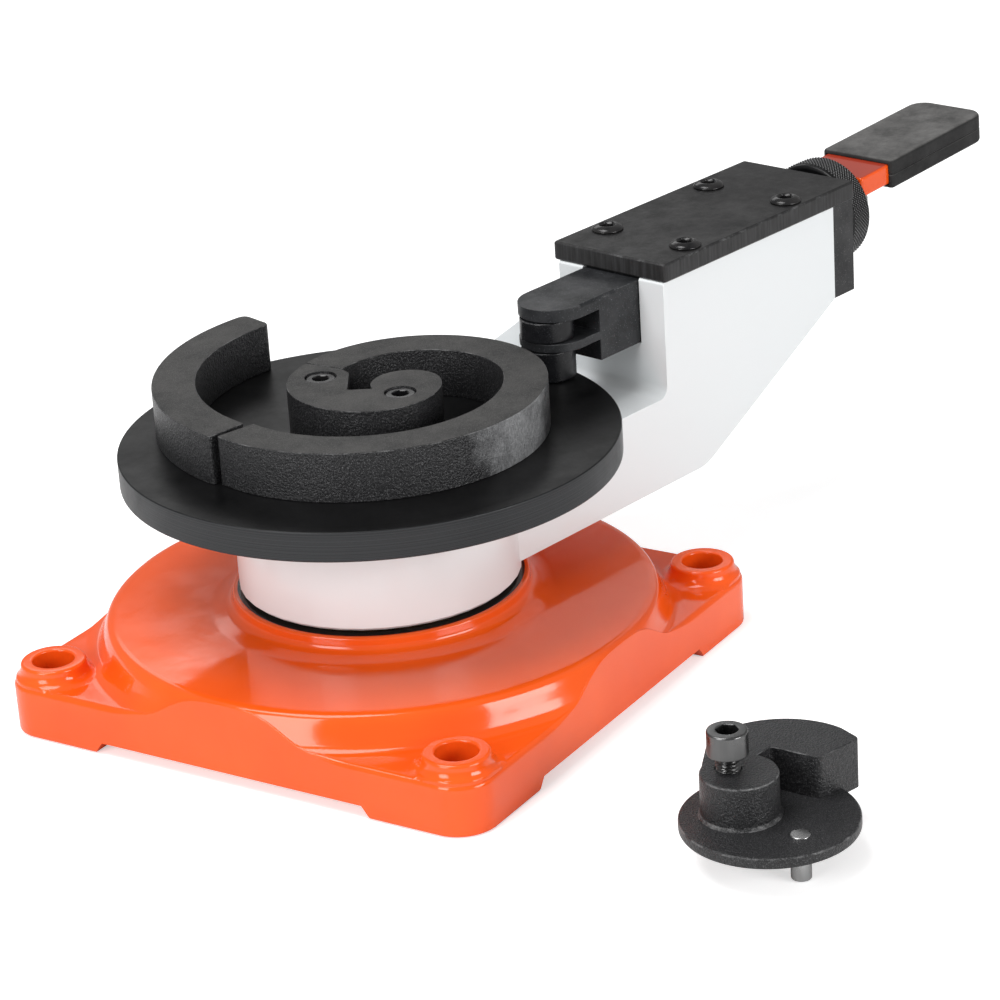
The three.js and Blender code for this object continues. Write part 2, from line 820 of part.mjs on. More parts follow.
function endCountersink(y, z) {
  const head = endScrewHead / 2 + fit;
  const shank = endScrewShank / 2;
  const geometry = new THREE.CylinderGeometry(head, shank, head - shank, facets.small);
  geometry.rotateZ(-quarter);
  geometry.translate(plateRear - (head - shank) / 2, y, z);
  return solid(geometry);
}

function endPlate() {
  const body = block(blockRear, plateRear, near, far, endPlateBottom, blockTop);
  return cut(
    body,
    rodAlongX(nutNeckRadius + slide, blockRear - overrun, plateRear + overrun, armOffset, sliderAxis),
    ...endScrews.flatMap(({ x: y, y: z }) => [
      rodAlongX(endScrewShank / 2 + fit, blockRear - overrun, plateRear + overrun, y, z),
      endCountersink(y, z),
    ]),
  );
}
place(model, "end_plate", endPlate(), "blackOxide");

// A countersunk screw lying along X, its head flush with the plate's rear face.
function endScrew({ x: y, y: z }) {
  const head = endScrewHead / 2;
  const shank = endScrewShank / 2;
  const profile = [
    [0, 0],
    [head, 0],
    [shank, shank - head],
    [shank, -endPlateThickness - endScrewReach],
    [0, -endPlateThickness - endScrewReach],
  ].reverse();
  const points = profile.map(([radius, height]) => new THREE.Vector2(radius, height));
  const geometry = new THREE.LatheGeometry([...points, points[0]], facets.small);
  geometry.rotateZ(-quarter);
  geometry.translate(plateRear - fit, y, z);
  const socket = new THREE.CylinderGeometry(shank * endSocketShare, shank * endSocketShare, endScrewShank, 6);
  socket.rotateZ(-quarter);
  socket.translate(plateRear + shank / 2, y, z);
  return cut(solid(geometry), solid(socket));
}
endScrews.forEach((spot, index) => {
  place(model, `end_screw_${"abcd"[index]}`, endScrew(spot), "screwBlack");
});

// The slider: a square bar forked in two steps at its nose for the rollers.
const earBottom = sliderTop - earThickness;
const gapBottom = earBottom - upperGap;
const middleBottom = gapBottom - middleEar;

function sliderBar() {
  const half = sliderWidth / 2;
  const nose = new THREE.Vector2(noseCentre, armOffset);
  const outline = [
    ...arc(nose, half, -90, -270, 10).reverse(),
    new THREE.Vector2(sliderRear, armOffset - half),
    new THREE.Vector2(sliderRear, armOffset + half),
  ];
  const front = noseCentre - sliderWidth;
  const y0 = armOffset - sliderWidth;
  const y1 = armOffset + sliderWidth;
  const bevel = carriedAlongX([
    [armOffset - half - overrun, sliderTop + overrun],
    [armOffset - half - overrun, sliderTop - sliderEdge - overrun],
    [armOffset - half + sliderEdge + overrun, sliderTop + overrun],
  ], noseCentre, blockFront - 6 * castingEdge);
  return cut(
    raised(outline.reverse(), sliderBottom, sliderTop),
    block(front, gapEnd, y0, y1, gapBottom, earBottom),
    block(front, gapEnd, y0, y1, sliderBottom - overrun, middleBottom),
    bevel,
    rod(axleDiameter / 2 + fit, sliderBottom, earBottom + axleBite + fit, rollerAxis, armOffset),
    rodAlongX(rodRadius + fit, rodStart - fit, sliderRear + overrun, armOffset, sliderAxis),
    rod(rodPin / 2 + fit, sliderBottom - overrun, sliderTop + overrun, rodPinPlace, armOffset),
  );
}
place(model, "slider_bar", sliderBar(), "blackOxide");

const rollerLow = tableTop + clear;

function roller(low, high, recess) {
  const inner = axleDiameter / 2 + slide;
  const bore = recess > 0
    ? [[inner, low + recess], [axleHead / 2 + slide, low + recess], [axleHead / 2 + slide, low]]
    : [[inner, low]];
  return turned([
    [inner, high],
    ...bore,
    [rollerRadius - rollerEdge, low],
    [rollerRadius, low + rollerEdge],
    [rollerRadius, high - rollerEdge],
    [rollerRadius - rollerEdge, high],
  ], facets.medium, new THREE.Vector3(rollerAxis, armOffset, 0));
}
place(model, "upper_roller", roller(gapBottom + fit, earBottom - fit, 0), "blackOxide");
place(model, "lower_roller", roller(rollerLow, middleBottom - fit, axleHeadHeight + slide), "blackOxide");
place(model, "roller_axle", turned([
  [0, earBottom + axleBite],
  [0, rollerLow],
  [axleHead / 2, rollerLow],
  [axleHead / 2, rollerLow + axleHeadHeight],
  [axleDiameter / 2, rollerLow + axleHeadHeight],
  [axleDiameter / 2, earBottom + axleBite],
], facets.small, new THREE.Vector3(rollerAxis, armOffset, 0)), "steel");

// The handle sits on a flat milled on the rod's rear end, tilted up a little.
const handleSeat = -(rodFlat + rodRadius / 2);
const handleScrewPlaces = [-1, 1].map((side) => new THREE.Vector2(
  handleScrewAlong + (side * handleScrewStep) / 2, (side * handleScrewGauge) / 2));
const handle = new THREE.Group();
handle.position.set(handleFront, armOffset, sliderAxis + rodFlat);
handle.rotation.y = -handleTilt;
model.add(handle);

function drawRod() {
  const flat = new THREE.BoxGeometry(barLength, 3 * rodRadius, 2 * rodRadius);
  flat.translate(barLength / 2 - clear, 0, rodRadius);
  flat.rotateY(-handleTilt);
  flat.translate(handleFront, armOffset, sliderAxis + rodFlat);
  const holes = handleScrewPlaces.map((place) => {
    const hole = new THREE.CylinderGeometry(handleScrewShank / 2 + fit, handleScrewShank / 2 + fit,
      4 * rodRadius, facets.small);
    const sink = new THREE.CylinderGeometry(handleScrewHead / 2 + fit, handleScrewHead / 2 + fit,
      rodRadius, facets.small);
    sink.translate(0, handleSeat - rodRadius / 2, 0);
    return [hole, sink].map((geometry) => {
      geometry.rotateX(quarter);
      geometry.translate(place.x, place.y, 0);
      geometry.rotateY(-handleTilt);
      geometry.translate(handleFront, armOffset, sliderAxis + rodFlat);
      return solid(geometry);
    });
  }).flat();
  return cut(
    rodAlongX(rodRadius, rodStart, rodEnd, armOffset, sliderAxis, facets.medium),
    solid(flat),
    ...holes,
    rod(rodPin / 2 + fit, sliderBottom, sliderTop, rodPinPlace, armOffset),
  );
}
place(model, "draw_rod", drawRod(), "steel");
place(model, "rod_pin", rod(rodPin / 2, sliderBottom, sliderTop, rodPinPlace, armOffset), "steel");

function handleBar() {
  const half = barWidth / 2;
  const outline = roundedRectangle(0, barLength, -half, half, 2 * coverEdge);
  return cut(
    raised(outline, fit, barThickness + fit, coverEdge),
    ...handleScrewPlaces.map(({ x, y }) => {
      return rod(handleScrewShank / 2 + fit, -overrun, handleScrewBite + 3 * fit, x, y);
    }),
  );
}
place(handle, "handle_bar", handleBar(), "orangeEnamel");

function handleGrip() {
  const half = gripWidth / 2;
  const middle = fit + barThickness / 2;
  const low = middle - gripThickness / 2;
  const square = gripEdge + clear;
  const end = gripStart + gripLength;
  const pitch = 18;
  const outline = [
    ...arc(new THREE.Vector2(end - gripCorner, half - gripCorner), gripCorner, 0, 90, pitch),
    ...arc(new THREE.Vector2(gripStart + square, half - square), square, 90, 180, 30),
    ...arc(new THREE.Vector2(gripStart + square, square - half), square, 180, 270, 30),
    ...arc(new THREE.Vector2(end - gripCorner, gripCorner - half), gripCorner, 270, 360, pitch),
  ];
  const pocket = block(gripStart - overrun, barLength + clear, -barWidth / 2 - fit, barWidth / 2 + fit,
    0, barThickness + 2 * fit);
  return cut(raised(outline, low, low + gripThickness, gripEdge, 3), pocket);
}
place(handle, "handle_grip", handleGrip(), "rubber");

handleScrewPlaces.forEach(({ x, y }, index) => {
  const screw = turned([
    [0, handleScrewBite],
    [handleScrewShank / 2, handleScrewBite],
    [handleScrewShank / 2, handleSeat - fit],
    [handleScrewHead / 2, handleSeat - fit],
    [handleScrewHead / 2, handleSeat - fit - handleScrewHeadHeight],
    [0, handleSeat - fit - handleScrewHeadHeight],
  ].reverse(), facets.small, new THREE.Vector3(x, y, 0));
  place(handle, `handle_screw_${"ab"[index]}`, screw, "screwBlack");
});

// The adjusting nut: a knurled wheel whose neck runs in the end plate and is kept there by a circlip.
// Each crossing of two knurl grooves is a low point and each diamond between them a high point.
function adjustingNut() {
  const bore = rodRadius + slide;
  const positions = [];
  const index = [];
  const rings = [];
  const ring = (radiusAt, x) => {
    rings.push(positions.length / 3);
    for (let column = 0; column < knurlColumns; column += 1) {
      const angle = (fullTurn * column) / knurlColumns;
      const radius = radiusAt(column);
      positions.push(x, radius * Math.cos(angle), radius * Math.sin(angle));
    }
  };
  const low = nutFront + nutChamfer;
  const pitch = (nutThickness - 2 * nutChamfer) / knurlRows;
  const rim = nutRadius - knurlDepth;
  ring(() => rim - nutChamfer, nutFront);
  for (let row = 0; row <= knurlRows; row += 1) {
    ring((column) => ((row + column) % 2 ? nutRadius : rim), low + row * pitch);
  }
  ring(() => rim - nutChamfer, nutFront + nutThickness);
  for (let band = 0; band + 1 < rings.length; band += 1) {
    for (let column = 0; column < knurlColumns; column += 1) {
      const next = (column + 1) % knurlColumns;
      const a = rings[band] + column;
      const b = rings[band] + next;
      const c = rings[band + 1] + column;
      const d = rings[band + 1] + next;
      const rising = (band - 1 + column) % 2 === 0;
      if (rising) index.push(a, b, d, a, d, c);
      else index.push(a, b, c, b, d, c);
    }
  }
  const caps = [[nutFront, rings[0], 1], [nutFront + nutThickness, rings[rings.length - 1], -1]];
  for (const [x, start, sign] of caps) {
    const centre = positions.length / 3;
    positions.push(x, 0, 0);
    for (let column = 0; column < knurlColumns; column += 1) {
      const a = start + column;
      const b = start + ((column + 1) % knurlColumns);
      if (sign > 0) index.push(centre, b, a);
      else index.push(centre, a, b);
    }
  }
  const geometry = new THREE.BufferGeometry();
  geometry.setAttribute("position", new THREE.Float32BufferAttribute(positions, 3));
  geometry.setIndex(index);
  geometry.translate(0, armOffset, sliderAxis);
  return cut(
    join(
      solid(geometry),
      rodAlongX(nutNeckRadius, nutNeckEnd, nutFront + clear, armOffset, sliderAxis),
    ),
    rodAlongX(bore, nutNeckEnd - overrun, nutFront + nutThickness + overrun, armOffset, sliderAxis),
    ringAlongX(
      nutNeckRadius - circlipBite - fit,
      nutNeckRadius + overrun,
      circlipPlace - fit,
      circlipPlace + circlipThickness + fit,
    ),
  );
}

function ringAlongX(inner, outer, from, to) {
  return cut(
    rodAlongX(outer, from, to, armOffset, sliderAxis),
    rodAlongX(inner, from - overrun, to + overrun, armOffset, sliderAxis),
  );
}
place(model, "adjusting_nut", adjustingNut(), "blackOxide");
place(model, "nut_circlip", cut(
  ringAlongX(nutNeckRadius - circlipBite, circlipRadius, circlipPlace, circlipPlace + circlipThickness),
  block(circlipPlace - overrun, circlipPlace + 2 * overrun, armOffset - overrun, armOffset + overrun,
    sliderAxis - 2 * nutNeckRadius, sliderAxis),
), "steel");

// The spare former stands beside the base: a small hook former on its own round plate.
const spare = new THREE.Group();
spare.position.set(spareCentre.x, spareCentre.y, 0);
model.add(spare);
const plateTop = spareStand + spareThickness;
const spareTop = spareStand + spareHeight;

function spareFormer() {
  const plate = turned([
    [0, plateTop],
    [0, spareStand],
    [spareRadius - tableEdge, spareStand],
    [spareRadius, spareStand + tableEdge],
    [spareRadius, plateTop - tableEdge],
    [spareRadius - tableEdge, plateTop],
  ], facets.medium);
  const hub = turned([
    [0, spareTop],
    [0, spareStand + fit],
    [spareHubRadius, spareStand + fit],
    [spareHubRadius, spareTop - formerEdge],
    [spareHubRadius - formerEdge, spareTop],
  ], facets.medium, new THREE.Vector3(spareHub.x, spareHub.y, 0));
  const outer = arc(spareArmCentre, spareArmRadius, -6, 96, 8);
  const hubLeft = onCircle(spareHub, spareHubRadius, 112);
  const outline = [
    new THREE.Vector2(spareTipNear, spareTipLow),
    new THREE.Vector2(spareTipFar, spareTipHigh),
    ...outer,
    hubLeft,
    spareHub,
    new THREE.Vector2(spareHub.x + spareHubRadius - overrun, spareSlotTop),
    new THREE.Vector2(spareSlotNear, spareSlotTop),
  ];
  const arm = raised(outline, plateTop - fit, spareTop, formerEdge);
  return cut(
    join(plate, hub, arm),
    rod(spareScrewShank / 2 + fit, 0, spareTop + overrun, spareScrewPlace.x, spareScrewPlace.y),
    rod(spareDowel / 2 + fit, 0, plateTop + overrun, spareDowelPlace.x, spareDowelPlace.y),
  );
}
place(spare, "spare_former", spareFormer(), "castBlack");
place(spare, "spare_dowel",
  rod(spareDowel / 2, 0, plateTop + fit, spareDowelPlace.x, spareDowelPlace.y), "steel");
place(spare, "spare_screw", socketScrew(spareScrewShank, spareScrewHead, spareScrewHeadHeight,
  spareScrewReach, spareTop + spareScrewProud, spareScrewPlace.x, spareScrewPlace.y), "screwBlack");

// The origin is on the floor under the middle of everything that stands on it.
const bounds = new THREE.Box3().setFromObject(model, true);
const middle = bounds.getCenter(new THREE.Vector3());
model.position.set(-middle.x, -middle.y, -bounds.min.z);

export default model;
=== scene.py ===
# A bench bender for scrolls: a swinging roller arm on an orange base, with a spare former beside it.
# Everything is in metres in the model's own frame, with +Z up and the arm along +X at rest.
import math

import bmesh
import bpy
import numpy as np
from mathutils import Matrix, Vector


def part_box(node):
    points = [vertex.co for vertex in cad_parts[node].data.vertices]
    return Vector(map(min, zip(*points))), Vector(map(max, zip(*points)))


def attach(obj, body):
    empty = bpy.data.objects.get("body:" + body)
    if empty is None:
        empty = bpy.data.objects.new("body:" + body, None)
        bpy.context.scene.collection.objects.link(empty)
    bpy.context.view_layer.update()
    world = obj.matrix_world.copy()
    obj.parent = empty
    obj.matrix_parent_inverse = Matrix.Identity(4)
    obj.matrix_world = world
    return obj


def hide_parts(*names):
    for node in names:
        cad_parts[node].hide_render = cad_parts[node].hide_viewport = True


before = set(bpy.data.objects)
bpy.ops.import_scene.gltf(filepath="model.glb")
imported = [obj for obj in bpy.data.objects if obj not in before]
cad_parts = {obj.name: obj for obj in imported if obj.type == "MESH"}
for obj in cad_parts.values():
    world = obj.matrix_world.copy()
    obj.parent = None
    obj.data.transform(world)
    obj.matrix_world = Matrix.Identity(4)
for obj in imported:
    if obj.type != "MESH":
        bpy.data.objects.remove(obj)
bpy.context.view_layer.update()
bpy.context.scene.view_settings.view_transform = "Standard"

# The camera stands before the near left corner of the base, as the photographer did.
# Its place is counted from the foot of the pivot post, the axis that the whole bender is built on.
# It is rolled a little, and its long lens flattens the perspective.
post_low, post_high = (np.array(corner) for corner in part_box("pivot_post"))
pivot = np.array([*((post_low + post_high) / 2)[:2], 0.0])
camera_azimuth = math.radians(42.664)
camera_elevation = math.radians(22.575)
camera_roll = math.radians(-3.731)
camera_from_pivot = Vector((-0.92743, -0.92604, 0.62030))
camera_lens_mm = 121.25

level = Vector((math.sin(camera_azimuth), -math.cos(camera_azimuth), 0.0))
ahead = Vector((
    math.cos(camera_azimuth) * math.cos(camera_elevation),
    math.sin(camera_azimuth) * math.cos(camera_elevation),
    -math.sin(camera_elevation),
))
above = level.cross(ahead)
right = level * math.cos(camera_roll) + above * math.sin(camera_roll)
upward = above * math.cos(camera_roll) - level * math.sin(camera_roll)
camera_data = bpy.data.cameras.new("camera")
camera_data.lens = camera_lens_mm
camera_data.sensor_width = 36.0
camera_data.clip_end = 20.0
camera = bpy.data.objects.new("camera", camera_data)
turn = Matrix((right, upward, -ahead)).transposed().to_4x4()
camera.matrix_world = Matrix.Translation(Vector(pivot) + camera_from_pivot) @ turn
bpy.context.scene.collection.objects.link(camera)
bpy.context.scene.camera = camera

# A photographer's sweep: a pale floor under a white surround, lit by large soft boxes.
# The paper is a little self-lit to the camera, so that it reads white and keeps a soft shadow.
floor_reach = 6.0
paper_tone = (0.90, 0.90, 0.90, 1.0)
paper_glow = 0.5
surround_strength = 0.34


def linked(finish, kind, inputs, **settings):
    """A new node of that kind with its settings, whose inputs are values or other nodes' outputs."""
    node = finish.node_tree.nodes.new("ShaderNode" + kind)
    for setting, value in settings.items():
        setattr(node, setting, value)
    for key, value in inputs.items():
        if isinstance(value, bpy.types.NodeSocket):
            finish.node_tree.links.new(value, node.inputs[key])
        else:
            node.inputs[key].default_value = value
    return node


def finish_of(name, **sockets):
    """A material with its shader's sockets set, named with _ for a space. It is no metal unless it
    is said to be one."""
    finish = bpy.data.materials.new(name)
    finish.use_nodes = True
    shader = finish.node_tree.nodes["Principled BSDF"]
    for socket, value in {"Metallic": 0.0, "IOR": 1.5, **sockets}.items():
        shader.inputs[socket.replace("_", " ")].default_value = value
    return finish


def product(finish, first, second):
    """The two values multiplied."""
    return linked(finish, "Math", {0: first, 1: second}, operation="MULTIPLY").outputs[0]


def white_surround():
    """The world: plain white to the eye and in mirrors, and gentler as a source of light."""
    world = bpy.data.worlds.new("surround")
    bpy.context.scene.world = world
    world.use_nodes = True
    path = linked(world, "LightPath", {}).outputs
    either = linked(world, "Math", {0: path["Is Camera Ray"], 1: path["Is Transmission Ray"]},
                    operation="MAXIMUM")
    strength = linked(world, "Mix", {"Factor": either.outputs[0], "A": surround_strength, "B": 1.0})
    background = world.node_tree.nodes["Background"]
    background.inputs["Color"].default_value = (1.0, 1.0, 1.0, 1.0)
    world.node_tree.links.new(strength.outputs["Result"], background.inputs["Strength"])


def floor_paper():
    """Matt white paper, with a glow added where the camera sees it."""
    paper = finish_of("floor_paper", Base_Color=paper_tone, Roughness=0.9, Specular_IOR_Level=0.1)
    nodes = paper.node_tree.nodes
    seen = linked(paper, "LightPath", {}).outputs["Is Camera Ray"]
    glow = linked(paper, "Emission", {"Strength": product(paper, seen, paper_glow)})
    both = linked(paper, "AddShader", {0: nodes["Principled BSDF"].outputs[0], 1: glow.outputs[0]})
    paper.node_tree.links.new(both.outputs[0], nodes["Material Output"].inputs["Surface"])
    return paper


def soft_box(name, place, width, height, watts, aim):
    """One rectangular lamp, turned to face the point that it lights."""
    lamp = bpy.data.lights.new(name, "AREA")
    lamp.shape = "RECTANGLE"
    lamp.size = width
    lamp.size_y = height
    lamp.energy = watts
    holder = bpy.data.objects.new(name, lamp)
    holder.location = place
    holder.rotation_euler = (Vector(aim) - Vector(place)).to_track_quat("-Z", "Y").to_euler()
    bpy.context.scene.collection.objects.link(holder)


white_surround()
floor_mesh = bpy.data.meshes.new("floor")
floor_corners = np.array([[-1, -1, 0], [1, -1, 0], [1, 1, 0], [-1, 1, 0]], float) * floor_reach
floor_mesh.from_pydata(floor_corners.tolist(), [], [(0, 1, 2, 3)])
floor = bpy.data.objects.new("floor", floor_mesh)
floor.location.z = -0.0004
floor_mesh.materials.append(floor_paper())
bpy.context.scene.collection.objects.link(floor)
soft_box("overhead_box", (-0.55, 0.25, 1.5), 1.0, 0.8, 16.0, (-0.05, 0.0, 0.08))
soft_box("left_box", (-1.65, 0.0, 0.7), 0.7, 0.8, 12.0, (-0.1, 0.0, 0.08))
soft_box("front_box", (0.1, -1.8, 0.65), 1.0, 0.6, 17.0, (0.0, 0.0, 0.08))
soft_box("rear_box", (0.8, 1.2, 1.0), 0.9, 0.5, 2.0, (0.0, 0.0, 0.08))


# The base is one iron casting: a square flange on four feet, a bolt boss in each corner,
# and a round platform that rises to the seat of the arm. It is bored for the pivot post and
# dipped in thick orange enamel, which rounds its edges and runs a little wavy.
MM = 0.001
base_half, base_corner, base_steps = 117.0, 16.5, 720
base_turn = math.radians(9.6)
base_edge, crowded_edge, steep_fall, bottom_edge = 2.6, 0.6, 1.2, 1.2
post_bore, seat_height, seat_radius = 20.3, 45.0, 61.0
platform_profile = [(post_bore, seat_height), (62.6, seat_height), (63.2, 44.3), (63.5, 40.6), (65.6, 38.6),
                    (71.2, 37.0), (114.2, 37.0), (116.9, 36.1), (118.2, 33.6), (120.5, 27.6), (122.3, 24.1),
                    (126.4, 22.5), (170.0, 22.5)]
platform_easing = [0, 0.8, 0.8, 2.4, 2.4, 3.0, 2.4, 1.7, 1.7, 2.4, 2.0, 2.4, 0]
pocket_radius, pocket_top = 50.0, 24.0
boss_place, boss_radius, boss_top, boss_bore = 100.0, 14.0, 29.5, 8.75
boss_flare, boss_low, boss_core, boss_inset = 5.2, 0.15, 12.0, 0.9
relief_half, relief_slope, relief_reach, foot_height = 68.4, 4.0, 150.0, 5.2


def softened(corners, reach, steps=5, closed=True):
    """The outline with its corners rounded. Each corner C becomes the parabola
    (1-t)^2 A + 2t(1-t) C + t^2 B, where A and B lie at `reach` from C on its two sides."""
    corners = np.asarray(corners, float)
    back = np.roll(corners, 1, axis=0) - corners
    on = np.roll(corners, -1, axis=0) - corners
    reach = np.broadcast_to(reach, len(corners)).astype(float).copy()
    if not closed:
        reach[[0, -1]] = 0.0
    sides = np.stack([np.linalg.norm(back, axis=1), np.linalg.norm(on, axis=1)])
    reach = np.minimum(reach, 0.49 * sides.min(0))[:, None]
    first = corners + back / sides[0][:, None] * reach
    last = corners + on / sides[1][:, None] * reach
    t = np.linspace(0.0, 1.0, steps)[:, None, None]
    curve = (1 - t) ** 2 * first + 2 * t * (1 - t) * corners + t ** 2 * last
    points = curve.transpose(1, 0, 2).reshape(-1, 2)
    moved = np.linalg.norm(points - np.roll(points, 1, axis=0), axis=1) > 1e-5
    moved[0] = True
    return points[moved]


def ringed(name, rings, loop=False):
    """A skin on a grid: rings[i, j] is the point at station i of a profile and step j around it.
    Each cell joins its four points. A loop joins the last station to the first, and otherwise
    a flat face closes each end. Places are in millimetres from the foot of the pivot."""
    stations, around = rings.shape[:2]
    number = np.arange(stations * around).reshape(stations, around)
    here = number if loop else number[:-1]
    there = np.roll(number, -1, axis=0)[: len(here)]
    cells = np.stack([here, np.roll(here, -1, 1), np.roll(there, -1, 1), there], axis=-1)
    mesh = bpy.data.meshes.new(name)
    mesh.from_pydata((rings.reshape(-1, 3) * MM + pivot).tolist(), [], cells.reshape(-1, 4).tolist())
    shape = bmesh.new()
    shape.from_mesh(mesh)
    shape.verts.ensure_lookup_table()
    for end in () if loop else (number[0], number[-1]):
        rim = {shape.verts[index] for index in end.tolist()}
        edges = [e for e in shape.edges if e.is_boundary and e.verts[0] in rim and e.verts[1] in rim]
        bmesh.ops.triangle_fill(shape, use_beauty=True, use_dissolve=False, edges=edges)
    bmesh.ops.remove_doubles(shape, verts=shape.verts, dist=1e-6)
    bmesh.ops.recalc_face_normals(shape, faces=shape.faces)
    shape.to_mesh(mesh)
    shape.free()
    return mesh


def wound(name, radius, angle, height, at=(0.0, 0.0), loop=False):
    """Stations with a radius and a height at each angle: x = r cos a, y = r sin a, z = height."""
    height = np.broadcast_to(height, radius.shape)
    return ringed(name, np.stack(
        [at[0] + radius * np.cos(angle), at[1] + radius * np.sin(angle), height], axis=-1), loop)


def turned(name, profile, steps=128, at=(0.0, 0.0), loop=False, hexagonal=False):
    """A profile of (radius, height) turned about an upright axis. At a station marked hexagonal the
    radius is that of the flats: r becomes r / cos(a mod 60 - 30)."""
    profile = np.asarray(profile, float)
    angle = np.linspace(0.0, 2 * math.pi, steps, endpoint=False)
    flats = 1 / np.cos((angle % (math.pi / 3)) - math.pi / 6)
    marked = np.broadcast_to(hexagonal, len(profile))[:, None]
    radius = profile[:, :1] * np.where(marked, flats, 1.0)
    return wound(name, radius, angle, profile[:, 1:2], at, loop)


def combined(mesh, others, operation):
    """The mesh joined with, or cut by, each of the others in turn."""
    body = bpy.data.objects.new("body", mesh)
    bpy.context.scene.collection.objects.link(body)
    for other in others:
        tool = bpy.data.objects.new("tool", other)
        bpy.context.scene.collection.objects.link(tool)
        step = body.modifiers.new("step", "BOOLEAN")
        step.operation = operation
        step.solver = "EXACT"
        step.object = tool
        bpy.context.view_layer.update()
        result = bpy.data.meshes.new_from_object(body.evaluated_get(bpy.context.evaluated_depsgraph_get()))
        body.modifiers.clear()
        body.data = result
        bpy.data.objects.remove(tool)
        bpy.data.meshes.remove(other)
    result = body.data
    bpy.data.objects.remove(body)
    result.name = mesh.name
    return result


def shown(mesh, nodes, body, finish, crease=35.0):
    """The mesh as a piece of that body, which stands for those nodes and is evenly shaded."""
    mesh.polygons.foreach_set("use_smooth", np.ones(len(mesh.polygons), bool))
    mesh.set_sharp_from_angle(angle=math.radians(crease))
    mesh.materials.clear()
    mesh.materials.append(finish)
    piece = bpy.data.objects.new(nodes[0] + "_skin", mesh)
    bpy.context.scene.collection.objects.link(piece)
    even = piece.modifiers.new("even_shading", "WEIGHTED_NORMAL")
    even.keep_sharp = True
    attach(piece, body)
    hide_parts(*nodes)
    return piece


def square_reach(inset, angle):
    """Distance from the middle to the rounded square's outline, moved inward by `inset`:
    on a side it is half / cos, and on a corner the far root of the circle about the corner's centre."""
    half, corner = base_half - inset, base_corner - inset
    major = np.maximum(abs(np.cos(angle)), abs(np.sin(angle)))
    minor = np.minimum(abs(np.cos(angle)), abs(np.sin(angle)))
    centre = half - corner
    root = np.sqrt(np.maximum(corner ** 2 - (centre * (major - minor)) ** 2, 0.0))
    return np.where(minor * half / major <= centre, half / major, centre * (major + minor) + root)


def base_skin():
    """The casting as one loop carried round the middle: the height over the radius, clipped to the
    rounded square, then the side with its rounded edges, the bottom, and the pocket with the bore."""
    angle = np.linspace(0.0, 2 * math.pi, base_steps, endpoint=False)
    profile = softened(platform_profile, platform_easing, 7, closed=False)
    longest_span = 3.0
    parts = np.maximum(1, np.ceil(np.diff(profile[:, 0]) / longest_span)).astype(int)
    radii = np.concatenate([np.linspace(a, b, n, endpoint=False)
                            for a, b, n in zip(profile[:-1, 0], profile[1:, 0], parts)] + [profile[-1:, 0]])
    reach = square_reach(0.0, angle)
    inner_side, outer_side = (np.interp(reach + step, profile[:, 0], profile[:, 1]) for step in (-1.5, 0.5))
    steepness = np.clip((inner_side - outer_side) / steep_fall, 0.0, 1.0)
    edge = base_edge - (base_edge - crowded_edge) * steepness
    radii = np.minimum(radii[:, None], square_reach(edge, angle)[None, :])
    heights = np.interp(radii, profile[:, 0], profile[:, 1])
    rim = heights[-1]
    roll = np.linspace(0.0, math.pi / 2, 7)[1:, None]
    top_radii = np.concatenate([square_reach(edge * (1 - math.sin(t)), angle)[None, :] for t in roll[:, 0]])
    top_heights = rim[None, :] - edge * (1 - np.cos(roll))
    under = np.linspace(0.0, math.pi / 2, 5)
    low_radii = np.concatenate([square_reach(bottom_edge * (1 - math.cos(t)), angle)[None, :] for t in under])
    low_heights = np.repeat(bottom_edge * (1 - np.sin(under))[:, None], len(angle), 1)
    inside = np.array([(pocket_radius, 0.0), (pocket_radius, pocket_top), (post_bore, pocket_top)])
    inner_radii, inner_heights = (np.repeat(column[:, None], len(angle), 1) for column in inside.T)
    radius = np.concatenate([radii, top_radii, low_radii, inner_radii])
    height = np.concatenate([heights, top_heights, low_heights, inner_heights])
    skin = wound("base_skin", radius, angle, height, loop=True)
    places = [(i * boss_place, j * boss_place) for i in (-1, 1) for j in (-1, 1)]
    cores = [turned("core", [(boss_core, -5.0), (boss_core, 40.0)], 24, place) for place in places]
    low, high = relief_half + relief_slope, relief_half - relief_slope
    section = np.array([(-low, -foot_height), (low, -foot_height), (high, foot_height), (-high, foot_height)])
    along = np.array([-relief_reach, relief_reach])
    across_x = np.stack([np.stack([np.full(4, a), section[:, 0], section[:, 1]], -1) for a in along])
    across_y = np.stack([np.stack([section[:, 0], np.full(4, a), section[:, 1]], -1) for a in along])
    skin = combined(skin, cores + [ringed("relief", across_x), ringed("relief", across_y)], "DIFFERENCE")
    return combined(skin, [boss_ring(place) for place in places], "UNION")


